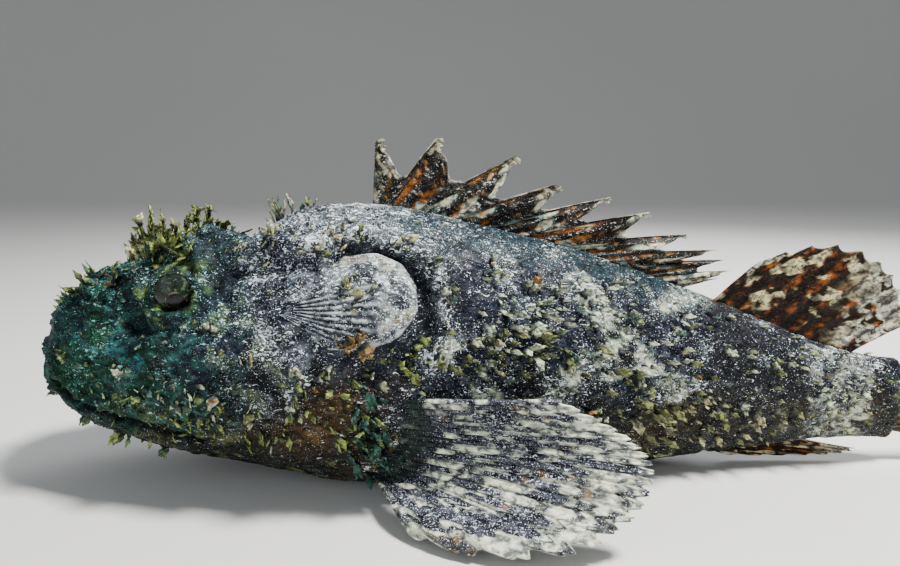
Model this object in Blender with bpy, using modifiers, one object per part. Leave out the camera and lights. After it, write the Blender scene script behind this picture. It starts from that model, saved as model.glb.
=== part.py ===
"""A spotted scorpionfish at life size, lying on its belly with its fins spread, head towards -X.

The body is a loft whose sections come from a short table of stations, with the head's ridges, pits
and lips added as a relief along the surface. The fins are thin sheets between their rays. Sizes are
measured from the snout tip and the floor; the origin is on the floor, under the middle of the belly.
"""

import math

import bmesh
import bpy
import numpy as np
from mathutils import Matrix, Vector

MM = 0.001
GAP = 0.3 * MM  # between pieces that touch

# Driving sizes, measured along the body from the snout tip
STANDARD_LENGTH = 270 * MM  # snout tip to the end of the tail stalk
ORIGIN_FROM_SNOUT = 125 * MM
NECK = 96 * MM  # where the head meets the torso
TAIL_START = 200 * MM  # where the torso meets the tail stalk
NOSE_ROUND_TOP = 12 * MM  # how far back the snout's rounding reaches, above and to the sides
NOSE_ROUND_CHIN = 8 * MM
END_ROUND = 4 * MM  # rounding at the end of the tail stalk

# Distance from the snout, then the height of the back and of the belly, the half width, the height
# at which the body is widest, and how square the section is above and below that height
STATIONS = np.array(
    (
        (0, 56, 25, 14, 38, 2.0, 2.0),
        (8, 58, 21, 18, 37, 2.0, 2.1),
        (17, 63, 17, 22, 35, 1.9, 2.2),
        (26, 67, 13, 25, 34, 1.8, 2.2),
        (36, 70, 10, 28, 34, 1.8, 2.2),
        (48, 72, 7, 30.5, 35, 1.85, 2.2),
        (60, 75, 5, 32.5, 37, 1.9, 2.2),
        (72, 80, 3, 34, 38, 1.95, 2.3),
        (86, 83, 0, 35, 40, 2.0, 2.4),
        (100, 84, -1.5, 35, 40, 2.0, 2.4),
        (120, 81, -1.5, 33, 40, 1.9, 2.3),
        (140, 76, -1.5, 29.5, 39, 1.8, 2.2),
        (160, 71, -1.2, 25, 37, 1.8, 2.1),
        (180, 64.5, 0.6, 20, 35, 1.8, 2.0),
        (202, 56, 3, 14.5, 31, 1.8, 2.0),
        (222, 48, 5.5, 10.5, 28, 1.8, 2.0),
        (242, 40, 8, 7.5, 25, 1.8, 2.0),
        (258, 36, 8.5, 5.0, 22, 2.0, 2.0),
        (270, 34.5, 7.8, 2.6, 21.5, 2.0, 2.0),
    )
)

# The line of the closed mouth, seen from the side: distance from the snout and height
MOUTH_LINE = ((-4, 41), (3, 40), (8, 37), (14, 31), (22, 27), (40, 23.5), (55, 19))
MOUTH_GAP = 0.7 * MM
# Each length of the body: its start and end, its rings, its points round and how its rings crowd
LOFTS = {
    "head": (0, NECK - GAP / 2, 34, 52, 1.35),
    "torso": (NECK + GAP / 2, TAIL_START - GAP / 2, 18, 40, 1.5),
    "tail_stalk": (TAIL_START + GAP / 2, STANDARD_LENGTH, 9, 28, 1.0),
}
JAW_LOFT = (0, 66 * MM, 16, 40, 1.35)  # the length of body that the lower jaw is cut from
JAW_HINGE = ((61, 12), (58, -6), (-4, -6))  # closes the lower jaw's outline behind and below
JAW_BLOCK_REACH = 45  # half the breadth of the block that parts the jaw, wider than the head

# Swellings and hollows on each side of the head: distance from the snout, height, radius, rise
SIDE_BUMPS = (
    (46, 70.5, 7.5, 7.0),
    (17, 43, 4, 2.4),
    (20, 61, 5, 1.6),
    (9, 51, 6, 1.2),
    (36, 52.5, 5.5, -4.8),
    (62, 60, 7, -1.8),
    (74, 66, 5, -1.6),
    (12, 47, 3.5, -1.0),
    (27, 49, 4, -1.4),
    (92, 57, 5, 1.0),
)
# Raised plates with a steep edge: distance from the snout, height, half length, half height, rise
SIDE_PLATES = (
    (47, 38.5, 17, 6.5, 1.7),
    (90, 40, 9, 12, 0.8),
)
# Ridges and grooves on each side, from point to point: radius, rise, then the points
SIDE_RIDGES = (
    (2.8, 2.4, ((22, 45), (38, 47.5), (60, 46.8), (72, 44.5), (84, 44.5))),
    (2.4, 2.8, ((56, 68.5), (66, 71), (73, 74.5), (82, 73), (90, 73.5))),
    (2.6, -2.0, ((64, 66.5), (76, 69), (92, 69))),
    (2.6, 1.6, ((84, 44.5), (84, 34), (76, 22))),
    (2.4, 2.8, ((97, 76.5), (105, 75), (111, 73), (117, 70.5), (121, 64), (122, 54), (119, 44))),
    (3.6, -2.4, ((96, 72.5), (106, 71.5), (113, 68), (117.5, 61), (117.5, 51), (112, 44), (102, 41))),
    (1.8, 1.6, ((3, 43), (9, 40), (15, 34), (23, 30), (40, 27))),
    (2.2, 1.6, ((2, 36.5), (8, 33.5), (14, 27.5), (22, 23.5), (40, 20), (52, 16.5))),
)
# Swellings and hollows on top: distance from the snout, distance from the middle, two radii, rise
TOP_BUMPS = (
    (45, 0, 16, 7, -3.6),
    (66, 0, 8, 9, -2.2),
    (80, 9, 9, 3, 1.2),
    (22, 8, 6, 3.5, 1.6),
)
# Of each fin: the thickness at its rays, the sheet's share of it, how far the edge falls back
# between two rays as a share of their length, and the columns of sheet between two rays
FIN_SHEETS = {
    "dorsal_fin_spiny": (2.6 * MM, 0.28, (0.52, 0.30), 2),
    "dorsal_fin_soft": (1.9 * MM, 0.36, (0.07, 0.07), 1),
    "anal_fin": (1.6 * MM, 0.40, (0.06, 0.06), 1),
    "tail_fin": (2.2 * MM, 0.32, (0.045, 0.045), 1),
    "breast_fin": (2.4 * MM, 0.32, (0.05, 0.05), 1),
    "belly_fin": (1.8 * MM, 0.42, (0.08, 0.08), 1),
    "tentacle": (1.5 * MM, 0.60, (0.30, 0.30), 1),
    "gill_cover": (2.0 * MM, 0.40, (0.05, 0.05), 1),
}
RAY_TAPER = 0.55  # how much thinner a ray is at its tip than at its root
SPIKE_SINK = 2.0  # millimetres of root inside what a spine grows from
SPIKE_SIDES = 5
SIDE_FADE = (3, 9)  # distance from the middle over which the side's relief comes in

EYE_PLACE = (47, 16.4, 60.5)
EYE_RADIUS = 8.2 * MM
SOCKET_RADIUS = 8.5 * MM
EYE_RIM = (10.4, 2.2, 3.0)  # radius of the raised rim, its width and its rise

SKIN_ROUGHNESS = 0.6
EYE_ROUGHNESS = 0.15
COLOURS = {
    "skin": (0.10, 0.11, 0.12),
    "fin": (0.35, 0.33, 0.31),
    "dorsal": (0.30, 0.16, 0.07),
    "eye": (0.10, 0.09, 0.05),
    "tassel": (0.30, 0.33, 0.16),
}


def smooth_through(x, xs, ys):
    """A smooth curve through the points, with each slope taken from the neighbours."""
    slopes = np.gradient(ys, xs)
    i = np.clip(np.searchsorted(xs, x, side="right") - 1, 0, len(xs) - 2)
    step = xs[i + 1] - xs[i]
    t = np.clip((x - xs[i]) / step, 0, 1)
    return (
        ys[i] * (1 + 2 * t) * (1 - t) ** 2
        + slopes[i] * step * t * (1 - t) ** 2
        + ys[i + 1] * t * t * (3 - 2 * t)
        - slopes[i + 1] * step * t * t * (1 - t)
    )


def smooth_step(value, low, high):
    t = np.clip((value - low) / (high - low), 0, 1)
    return t * t * (3 - 2 * t)


def end_rounding(x, reach):
    """0 at the very end of a round form and 1 from reach inwards, as a quarter circle."""
    return np.sqrt(np.clip(1 - (1 - np.clip(x / reach, 0, 1)) ** 2, 0, 1))


def plain_point(x, turn):
    """A point of the body without its relief, in millimetres from the snout and the floor.

    turn goes round the section from the fish's right side over the back.
    """
    x, turn = np.broadcast_arrays(np.asarray(x, float), np.asarray(turn, float))
    top, bottom, half, waist, above, below = (
        smooth_through(x, STATIONS[:, 0], STATIONS[:, k]) for k in range(1, 7)
    )
    tail = end_rounding(STANDARD_LENGTH / MM - x, END_ROUND / MM)
    crown = end_rounding(x, NOSE_ROUND_TOP / MM) * tail
    chin = end_rounding(x, NOSE_ROUND_CHIN / MM) * tail
    c, s = np.cos(turn), np.sin(turn)
    power = np.where(s >= 0, above, below)
    reach = np.where(s >= 0, (top - waist) * crown, (waist - bottom) * chin)
    y = half * crown * np.sign(c) * np.abs(c) ** (2 / power)
    z = waist + reach * np.sign(s) * np.abs(s) ** (2 / power)
    return np.stack([x, y, z], axis=-1)


def distance_to_path(x, z, path):
    """Distance in the side view from each point to the nearest stretch of a path."""
    nearest = np.full(x.shape, 1e9)
    for (x0, z0), (x1, z1) in zip(path, path[1:]):
        length = (x1 - x0) ** 2 + (z1 - z0) ** 2
        t = np.clip(((x - x0) * (x1 - x0) + (z - z0) * (z1 - z0)) / length, 0, 1)
        nearest = np.minimum(nearest, np.hypot(x - x0 - t * (x1 - x0), z - z0 - t * (z1 - z0)))
    return nearest


def relief(point):
    """How far the surface stands out from the plain body at each point, in millimetres."""
    x, y, z = point[..., 0], np.abs(point[..., 1]), point[..., 2]
    side = np.zeros(x.shape)
    for place, height, radius, rise in SIDE_BUMPS:
        side += rise * np.exp(-((x - place) ** 2 + (z - height) ** 2) / radius**2)
    for place, height, half_length, half_height, rise in SIDE_PLATES:
        off = ((x - place) / half_length) ** 2 + ((z - height) / half_height) ** 2
        side += rise * np.exp(-(off**4))
    for radius, rise, path in SIDE_RIDGES:
        side += rise * np.exp(-((distance_to_path(x, z, path) / radius) ** 2))
    from_eye = np.sqrt(sum((a - b) ** 2 for a, b in zip((x, y, z), EYE_PLACE)))
    rim_radius, rim_width, rim_rise = EYE_RIM
    side += rim_rise * np.exp(-(((from_eye - rim_radius) / rim_width) ** 2))
    top = np.zeros(x.shape)
    for place, across, radius_x, radius_y, rise in TOP_BUMPS:
        top += rise * np.exp(-(((x - place) / radius_x) ** 2) - ((y - across) / radius_y) ** 2)
    return side * smooth_step(y, *SIDE_FADE) + top * smooth_step(z, 45, 60)


def body_point(x, turn, lift=0.0):
    """A point of the finished body, lift millimetres off its surface, in millimetres."""
    small = 0.05
    point = plain_point(x, turn)
    along = plain_point(np.asarray(x) + small, turn) - plain_point(np.asarray(x) - small, turn)
    around = plain_point(x, np.asarray(turn) + small) - plain_point(x, np.asarray(turn) - small)
    normal = np.cross(around, along)
    normal /= np.maximum(np.linalg.norm(normal, axis=-1, keepdims=True), 1e-9)
    outward = point - np.stack(
        [point[..., 0], 0 * point[..., 1], smooth_through(point[..., 0], STATIONS[:, 0], STATIONS[:, 4])],
        axis=-1,
    )
    flip = np.where((normal * outward).sum(-1, keepdims=True) < 0, -1.0, 1.0)
    point = point + normal * flip * (relief(point) + lift)[..., None]
    point[..., 2] = np.maximum(point[..., 2], 0.0)
    return point


def to_world(points):
    """From millimetres behind the snout to metres in the part's frame."""
    return np.asarray(points) * MM - np.array((ORIGIN_FROM_SNOUT, 0, 0))


def side_turn(x, height, left=True):
    """The turn at which the section at x reaches a height, on the left or right side."""
    turns = np.linspace(-math.pi / 2, math.pi / 2, 181)
    heights = body_point(np.full(turns.shape, float(x)), turns)[:, 2]
    turn = float(np.interp(height, np.maximum.accumulate(heights), turns))
    return math.pi - turn if left else turn


def material(name, colour, roughness):
    made = bpy.data.materials.new(name)
    made.use_nodes = True
    shader = made.node_tree.nodes["Principled BSDF"]
    shader.inputs["Base Color"].default_value = (*colour, 1)
    shader.inputs["Roughness"].default_value = roughness
    shader.inputs["Metallic"].default_value = 0.0
    made.diffuse_color = (*colour, 1)
    return made


def new_object(name, bm, collection):
    mesh = bpy.data.meshes.new(name)
    bm.to_mesh(mesh)
    bm.free()
    obj = bpy.data.objects.new(name, mesh)
    collection.objects.link(obj)
    return obj


def flesh(name, start, end, rings, segments, crowding, collection, lift=0.0):
    """A length of the body between two distances from the snout, closed at both ends.

    A crowding over 1 packs the rings together towards the start. lift swells the piece on all sides.
    """
    bm = bmesh.new()
    turns = np.arange(segments) * 2 * math.pi / segments
    nose = start <= 0
    places = start + (end - start) * np.linspace(0, 1, rings + 1) ** crowding
    if lift:
        places[-1] += lift
        places[0] -= 0 if nose else lift
    if nose:
        places = places[1:]
    loops = []
    for place in places:
        points = to_world(body_point(np.full(segments, place / MM), turns, lift / MM))
        loops.append([bm.verts.new(p) for p in points])
    for a, b in zip(loops, loops[1:]):
        for k in range(segments):
            n = (k + 1) % segments
            bm.faces.new((a[k], a[n], b[n], b[k]))
    bm.faces.new(loops[-1])
    if nose:
        tip = bm.verts.new(to_world(plain_point(0.0, 0.0)))
        for k in range(segments):
            bm.faces.new((tip, loops[0][(k + 1) % segments], loops[0][k]))
    else:
        bm.faces.new(loops[0][::-1])
    # Split alike here and in the swollen copy, so that the two surfaces stay apart everywhere
    sides = [f for f in bm.faces if len(f.verts) == 4]
    bmesh.ops.triangulate(bm, faces=sides, quad_method="FIXED")
    bmesh.ops.recalc_face_normals(bm, faces=bm.faces)
    return new_object(name, bm, collection)


def apply_boolean(obj, operation, other=None, collection=None):
    """One Boolean, applied."""
    modifier = obj.modifiers.new(operation.lower(), "BOOLEAN")
    modifier.operation = operation
    modifier.solver = "MANIFOLD"
    if collection is None:
        modifier.object = other
    else:
        modifier.operand_type = "COLLECTION"
        modifier.collection = collection
    bpy.context.view_layer.update()
    graph = bpy.context.evaluated_depsgraph_get()
    mesh = bpy.data.meshes.new_from_object(obj.evaluated_get(graph))
    obj.modifiers.clear()
    obj.data = mesh


def keep_largest(obj):
    """Drops everything but the closed surface that holds the most."""
    bm = bmesh.new()
    bm.from_mesh(obj.data)
    left, groups = set(bm.verts), []
    while left:
        group, queue = set(), [left.pop()]
        while queue:
            v = queue.pop()
            group.add(v)
            for edge in v.link_edges:
                other = edge.other_vert(v)
                if other in left:
                    left.discard(other)
                    queue.append(other)
        groups.append(group)

    def spread(group):
        low = np.min([v.co for v in group], axis=0)
        high = np.max([v.co for v in group], axis=0)
        return float(np.prod(high - low))

    groups.sort(key=spread)
    bmesh.ops.delete(bm, geom=[v for g in groups[:-1] for v in g], context="VERTS")
    bm.to_mesh(obj.data)
    bm.free()


def fuse(host, pieces):
    """Joins pieces to their host with one Boolean union and removes them."""
    group = bpy.data.collections.new(host.name + "_pieces")
    bpy.context.scene.collection.children.link(group)
    for piece in pieces:
        for holder in piece.users_collection:
            holder.objects.unlink(piece)
        group.objects.link(piece)
    apply_boolean(host, "UNION", collection=group)
    for piece in pieces:
        bpy.data.objects.remove(piece)
    bpy.data.collections.remove(group)
    keep_largest(host)


def seat(obj, cutters):
    """Cuts a piece back so that it meets the body with the usual gap."""
    for cutter in cutters:
        apply_boolean(obj, "DIFFERENCE", other=cutter)
    keep_largest(obj)


def fin(name, rays, collection):
    """A fin: a thin sheet whose rays stand up as ridges on both faces.

    rays is a list of arrays of points from root to tip, in millimetres.
    """
    kind = next(kind for kind in FIN_SHEETS if name.startswith(kind))
    thickness, web, notch, between = FIN_SHEETS[kind]
    notches = np.linspace(*notch, len(rays) - 1)
    rows = len(rays[0])
    steps = np.linspace(0, 1, rows)
    columns, weights = [], []
    for k, ray in enumerate(rays):
        columns.append(np.asarray(ray))
        weights.append(1.0 - RAY_TAPER * steps)
        if k + 1 == len(rays):
            break
        for j in range(1, between + 1):
            share = j / (between + 1)
            blend = (1 - share) * np.asarray(ray) + share * np.asarray(rays[k + 1])
            # One column is the lowest point of the edge, and two fall towards the next ray
            fall = notches[k] * (1.0 if between == 1 else 0.35 + 0.65 * share)
            shorter = steps * (1 - fall)
            columns.append(
                np.stack([np.interp(shorter, steps, blend[:, a]) for a in range(3)], axis=-1)
            )
            weights.append(np.full(rows, web))
    bm = bmesh.new()
    grid = [[bm.verts.new(p) for p in to_world(column)] for column in columns]
    for a, b in zip(grid, grid[1:]):
        for k in range(rows - 1):
            bm.faces.new((a[k], b[k], b[k + 1], a[k + 1]))
    bmesh.ops.triangulate(bm, faces=bm.faces, quad_method="FIXED")
    obj = new_object(name, bm, collection)
    group = obj.vertex_groups.new(name="thickness")
    for column, values in enumerate(weights):
        for row, value in enumerate(values):
            group.add([column * rows + row], float(value), "REPLACE")
    shell = obj.modifiers.new("thickness", "SOLIDIFY")
    shell.thickness = thickness
    shell.offset = 0
    shell.vertex_group = "thickness"
    bpy.context.view_layer.update()
    graph = bpy.context.evaluated_depsgraph_get()
    obj.data = bpy.data.meshes.new_from_object(obj.evaluated_get(graph))
    obj.modifiers.clear()
    obj.vertex_groups.clear()
    return obj


def bent_ray(root, tip, bow, rows):
    """Points from root to tip along a curve that bows out by a vector in the middle."""
    t = np.linspace(0, 1, rows)[:, None]
    root, tip = np.asarray(root, float), np.asarray(tip, float)
    middle = (root + tip) / 2 + np.asarray(bow, float)
    return (1 - t) ** 2 * root + 2 * t * (1 - t) * middle + t * t * tip


def mirrored(points):
    return np.asarray(points) * np.array((1, -1, 1))


# Spiny part of the back fin: root's distance from the snout, then the tip's distance and height
DORSAL_SPINES = (
    (100, 101.5, 103),
    (105, 120, 103.5),
    (112, 144, 98.5),
    (121, 156.5, 90),
    (130, 173.5, 86),
    (140, 185, 81.5),
    (150, 198, 74.5),
    (160, 207, 70),
    (170, 210, 66.5),
    (180, 211, 63.5),
    (190, 209.5, 60.5),
)
SPINE_SINK = 5  # how deep the roots go below the back before they are cut to it
SPINE_LEAN = 1.3  # how far the tips lean to one side and the other in turn
# Soft part of the back fin, led by the last spine
SOFT_RAYS = (
    (203.5, 222, 67.5),
    (208, 229, 69),
    (213, 237, 71),
    (218, 244.5, 71.5),
    (223, 251.5, 70),
    (228, 257.5, 66.5),
    (233, 262.5, 62),
    (238, 266.5, 57),
    (243, 269.5, 51.5),
    (247, 271, 46.5),
)
# Fin under the tail, laid back between the body and the floor
ANAL_RAYS = (
    (204, 216, 1.4),
    (208, 226, 1.2),
    (212, 234, 1.2),
    (216, 242, 1.3),
    (220, 249, 1.5),
    (224, 254, 2.0),
    (227.5, 257, 2.8),
    (230.5, 258.5, 3.8),
)
TAIL_RAYS = 13
TAIL_FIN_LENGTH = 70
TAIL_ROOT = (11, 32)  # lowest and highest root on the stalk
TAIL_EDGE = (1.2, 49)  # lowest and highest tip
# Tips of the spread breast fin, from its top ray to its lowest: distance from the snout, distance
# from the middle, height. Its rays are spaced evenly along them
BREAST_TIPS = (
    (151, 45, 38.5),
    (169.5, 48, 28.5),
    (173.5, 51, 19.5),
    (166, 54, 9.5),
    (150, 57, 3.4),
    (131, 55, 1.8),
    (114, 46, 1.4),
)
BREAST_TIP_SHARES = (0, 0.25, 0.5, 0.7, 0.85, 0.93, 1)
BREAST_RAYS = 19
BREAST_ROOT = ((109, 33), (103.5, 6))  # top and bottom of its root, seen from the side
BELLY_FIN_TIPS = ((146, 41), (155, 39), (161, 35), (164.5, 30.5), (165, 26), (161, 22))
BELLY_FIN_ROOT = (107, 119)  # front and back of its root


TENTACLE_ROOT = (40, 13, 66.5)
TENTACLE_TIPS = (
    (33.5, 13, 74),
    (36, 15, 79.5),
    (40, 16, 82.5),
    (44, 16.5, 82),
    (47.5, 16.5, 79),
    (49, 15.5, 74.5),
)
GILL_APEX = (77, 57.6)  # where the fan on the gill cover starts
GILL_EDGE = (
    (95, 70.5),
    (104, 71),
    (111, 68),
    (115, 62.5),
    (115.5, 56.5),
    (111, 51),
    (103, 48),
    (93, 48),
)
GILL_LIFT = (0.9, 1.1)  # how far its middle stands off the skin at the apex, and how much more behind
GILL_INNER = 0.1  # where its ribs start, as a share of their length from the apex
NOSTRILS = ((19.5, 57.5), (24.5, 57))  # distance from the snout and height
NOSTRIL_RADIUS = 1.3 * MM
# Spines and skin flaps on each side: distance from the snout, height, length, width, thickness as a
# share of the width, and how far each leans back and up
HEAD_SPIKES = (
    (3.5, 53, 5.0, 4.5, 0.35, -0.3, 0.6),
    (12, 56, 4.0, 5.5, 0.35, -0.2, 0.5),
    (20.5, 62, 7.0, 4.5, 0.35, -0.1, 1.0),
    (25.5, 63, 4.5, 4.5, 0.35, 0.5, 0.9),
    (16.5, 43, 3.0, 5.0, 0.6, 0.2, -0.5),
    (35, 33.5, 4.5, 6.0, 0.35, 0.3, -0.8),
    (40, 33.5, 4.0, 6.0, 0.35, 0.3, -0.8),
    (56, 34, 5.0, 6.5, 0.35, 0.4, -0.8),
    (61.5, 34.5, 5.0, 6.5, 0.35, 0.4, -0.7),
    (49, 38, 3.0, 5.0, 0.35, 0.4, -0.3),
    (41, 47.5, 3.0, 4.0, 0.5, 0.9, 0.1),
    (62, 47, 4.0, 5.5, 0.4, 1.0, -0.2),
    (71.5, 44.5, 4.5, 6.0, 0.4, 1.0, -0.3),
    (83, 44.5, 6.0, 6.0, 0.45, 1.2, -0.1),
    (84.5, 37, 5.0, 6.0, 0.4, 1.0, -0.3),
    (82, 30, 4.5, 5.5, 0.4, 0.9, -0.4),
    (75, 22, 4.0, 5.5, 0.4, 0.7, -0.5),
    (70, 31, 4.5, 6.0, 0.35, 0.6, -0.5),
    (53, 70.5, 4.0, 4.0, 0.6, 1.0, 0.5),
    (65.5, 71.5, 4.0, 4.5, 0.6, 1.0, 0.5),
    (73.5, 75, 4.5, 5.0, 0.5, 1.0, 0.6),
    (88, 73.5, 5.5, 5.0, 0.5, 1.3, 0.1),
    (70, 79, 9, 3.6, 0.4, -0.35, 1.3),
    (81, 82.3, 4.0, 5.0, 0.45, 0.7, 0.9),
    (59, 52, 3.5, 5.0, 0.35, 0.7, 0.1),
    (92, 43, 3.5, 5.0, 0.4, 0.9, -0.3),
)
JAW_SPIKES = (
    (6, 29, 3.5, 4.5, 0.35, -0.2, -0.5),
    (15, 22, 4.0, 5.0, 0.35, 0.2, -0.4),
    (28, 18.5, 4.5, 5.0, 0.35, 0.3, -0.4),
    (41, 15.5, 4.5, 5.0, 0.35, 0.4, -0.3),
)
TORSO_SPIKES = (
    (99, 75.5, 4.0, 5.0, 0.45, 1.2, 0.3),
    (110, 73.5, 4.0, 5.0, 0.45, 1.2, 0.2),
    (119, 69.5, 5.0, 5.5, 0.4, 1.2, 0.0),
    (122.5, 60, 4.5, 5.5, 0.4, 1.2, 0.0),
    (120, 47, 5.0, 6.5, 0.35, 1.0, -0.2),
    (103, 41, 5.0, 6.5, 0.35, 0.8, -0.3),
    (134, 67, 4.0, 5.5, 0.35, 1.2, 0.0),
    (147, 61.5, 4.0, 5.5, 0.35, 1.2, 0.0),
    (161, 56.5, 4.0, 5.5, 0.35, 1.2, 0.0),
    (176, 51.5, 3.5, 5.5, 0.35, 1.2, 0.0),
    (190, 47, 3.5, 5.0, 0.35, 1.2, 0.0),
    (137, 49, 4.5, 6.0, 0.35, 1.1, -0.2),
    (156, 42, 4.5, 6.0, 0.35, 1.1, -0.2),
    (177, 36, 4.0, 6.0, 0.35, 1.1, -0.2),
    (166, 25, 4.0, 6.0, 0.35, 1.0, -0.3),
    (186, 22, 4.0, 5.5, 0.35, 1.0, -0.3),
)
STALK_SPIKES = (
    (207, 41.5, 3.5, 5.0, 0.35, 1.1, 0.0),
    (222, 36, 3.0, 4.5, 0.35, 1.1, 0.0),
    (238, 30, 3.0, 4.0, 0.35, 1.1, 0.0),
    (212, 23, 3.5, 5.0, 0.35, 1.1, -0.3),
)


def spiny_dorsal(collection):
    rays = []
    for k, (root, tip, height) in enumerate(DORSAL_SPINES):
        base = plain_point(float(root), math.pi / 2)
        lean = SPINE_LEAN * (-1) ** k
        start = (root, 0, base[2] - SPINE_SINK)
        rays.append(bent_ray(start, (tip, lean, height), (0, 0, 0.8), 6))
    return fin("dorsal_fin_spiny", rays, collection)


def soft_dorsal(collection):
    rays = []
    for k, (root, tip, height) in enumerate(SOFT_RAYS):
        base = plain_point(float(root), math.pi / 2)
        start = (root, 0, base[2] - SPINE_SINK)
        rays.append(bent_ray(start, (tip, 1.5 * math.sin(k), height), (0, 0, 1.5), 6))
    return fin("dorsal_fin_soft", rays, collection)


def anal_fin(collection):
    rays = []
    for root, tip, height in ANAL_RAYS:
        base = plain_point(float(root), -math.pi / 2)
        start = (root, 0, base[2] + 3)
        rays.append(bent_ray(start, (tip, 1.0, height), (0, 0.5, -1.0), 5))
    return fin("anal_fin", rays, collection)


def tail_fin(collection):
    rays = []
    for k in range(TAIL_RAYS):
        share = k / (TAIL_RAYS - 1)
        low, high = TAIL_ROOT
        root = (266, 0, low + (high - low) * share)
        swing = 2 * share - 1
        reach = TAIL_FIN_LENGTH * (1 - 0.17 * abs(swing) ** 2.4)
        tip = (
            STANDARD_LENGTH / MM + reach,
            -3.0 + 1.2 * math.cos(3 * swing),
            TAIL_EDGE[0] + (TAIL_EDGE[1] - TAIL_EDGE[0]) * share,
        )
        rays.append(bent_ray(root, tip, (0, 1.5, 2.5 * swing), 7))
    return fin("tail_fin", rays, collection)


def breast_fin_rays(rows):
    """Rays of the right breast fin, from the top one down."""
    tips = np.array(BREAST_TIPS, float)
    shares = np.array(BREAST_TIP_SHARES)
    rays = []
    for k in range(BREAST_RAYS):
        share = k / (BREAST_RAYS - 1)
        tip = np.array([smooth_through(share, shares, tips[:, a]) for a in range(3)])
        (top_x, top_z), (low_x, low_z) = BREAST_ROOT
        x, z = top_x + (low_x - top_x) * share, top_z + (low_z - top_z) * share
        on_skin = body_point(x, side_turn(x, z, left=False))
        inside = on_skin + np.array((-3.0, -4.0, 0.0))
        bow = np.array((4.0 * (1 - share), 6.0 + 3.0 * share, 1.5 + 5.0 * share))
        rays.append(bent_ray(inside, tip, bow, rows))
    return rays


def breast_fin(name, side, collection):
    rays = breast_fin_rays(7)
    if side < 0:
        rays = [mirrored(ray) for ray in rays]
    return fin(name, rays, collection)


def belly_fin(name, side, collection):
    rays = []
    front, back = BELLY_FIN_ROOT
    for k, (tip_x, tip_y) in enumerate(BELLY_FIN_TIPS):
        share = k / (len(BELLY_FIN_TIPS) - 1)
        root = (front + (back - front) * share, 14.5 - 1.0 * share, 6.0)
        ray = bent_ray(root, (tip_x, tip_y, 1.35), (-6.0, 2.0, -3.2), 6)
        rays.append(ray if side > 0 else mirrored(ray))
    return fin(name, rays, collection)


def tentacle(name, side, collection):
    """The leafy flap of skin that stands over each eye."""
    rays = []
    for k, tip in enumerate(TENTACLE_TIPS):
        x, y, z = TENTACLE_ROOT
        root = (x + 1.5 * (k - (len(TENTACLE_TIPS) - 1) / 2), y, z)
        ray = bent_ray(root, tip, (0, 0.6, 0.8), 5)
        rays.append(ray if side > 0 else mirrored(ray))
    return fin(name, rays, collection)


def gill_cover(name, side, collection):
    """The ribbed bony fan behind the cheek and the rounded flap it ends in."""
    rays = []
    apex_x, apex_z = GILL_APEX
    for x, z in GILL_EDGE:
        ray = []
        for share in np.linspace(GILL_INNER, 1, 6):
            place = apex_x + (x - apex_x) * share
            height = apex_z + (z - apex_z) * share
            turn = side_turn(place, height, left=side < 0)
            ray.append(body_point(place, turn, lift=GILL_LIFT[0] + GILL_LIFT[1] * share))
        rays.append(np.array(ray))
    return fin(name, rays, collection)


def eye(name, side, radius, collection):
    bm = bmesh.new()
    bmesh.ops.create_uvsphere(bm, u_segments=18, v_segments=11, radius=radius)
    x, y, z = EYE_PLACE
    bmesh.ops.translate(bm, verts=bm.verts, vec=to_world((x, side * y, z)))
    return new_object(name, bm, collection)


def nostril(place, height, left, cutters):
    bm = bmesh.new()
    bmesh.ops.create_icosphere(bm, subdivisions=1, radius=NOSTRIL_RADIUS)
    at = body_point(float(place), side_turn(place, height, left))
    bmesh.ops.translate(bm, verts=bm.verts, vec=to_world(at))
    return new_object("nostril", bm, cutters)


def lower_jaw_block(name, shrink, cutters):
    """A block whose top follows the mouth line, for cutting the lower jaw from the head."""
    outline = [(x, z - shrink) for x, z in MOUTH_LINE]
    outline += [(x - shrink, z) for x, z in JAW_HINGE[:2]] + [JAW_HINGE[2]]
    bm = bmesh.new()
    near = [bm.verts.new(to_world((x, -JAW_BLOCK_REACH, z))) for x, z in outline]
    face = bm.faces.new(near)
    grown = bmesh.ops.extrude_face_region(bm, geom=[face])
    moved = [g for g in grown["geom"] if isinstance(g, bmesh.types.BMVert)]
    bmesh.ops.translate(bm, verts=moved, vec=(0, 2 * JAW_BLOCK_REACH * MM, 0))
    bmesh.ops.recalc_face_normals(bm, faces=bm.faces)
    return new_object(name, bm, cutters)


def spike(place, outward, direction, length, width, flat, collection):
    """A tapered spine or skin flap, in millimetres, whose root is sunk in what it grows from.

    It points along direction and lies broad side to the surface, whose normal is outward. flat is
    its thickness as a share of its width.
    """
    bm = bmesh.new()
    sunk = SPIKE_SINK + length
    bmesh.ops.create_cone(
        bm,
        cap_ends=True,
        segments=SPIKE_SIDES,
        radius1=width / 2 * MM,
        radius2=width / 9 * MM,
        depth=sunk * MM,
    )
    bmesh.ops.translate(bm, verts=bm.verts, vec=(0, 0, (sunk / 2 - SPIKE_SINK) * MM))
    bmesh.ops.scale(bm, verts=bm.verts, vec=(1, flat, 1))
    along = Vector(direction).normalized()
    across = Vector(outward).cross(along).normalized()
    turned = Matrix((across, along.cross(across), along)).transposed().to_4x4()
    bm.transform(Matrix.Translation(to_world(place)) @ turned)
    return new_object("spike", bm, collection)


def add_spikes(host, rows, collection):
    """Grows a table's spines and flaps on both sides of a piece of the body."""
    pieces = []
    for x, height, length, width, flat, back, up in rows:
        for left in (True, False):
            turn = side_turn(x, height, left)
            place, lifted = (body_point(float(x), turn, lift) for lift in (0.0, 1.0))
            outward = lifted - place
            outward /= max(np.linalg.norm(outward), 1e-6)
            direction = outward + np.array((back, 0, up))
            pieces.append(spike(place, outward, direction, length, width, flat, collection))
    fuse(host, pieces)


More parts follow.
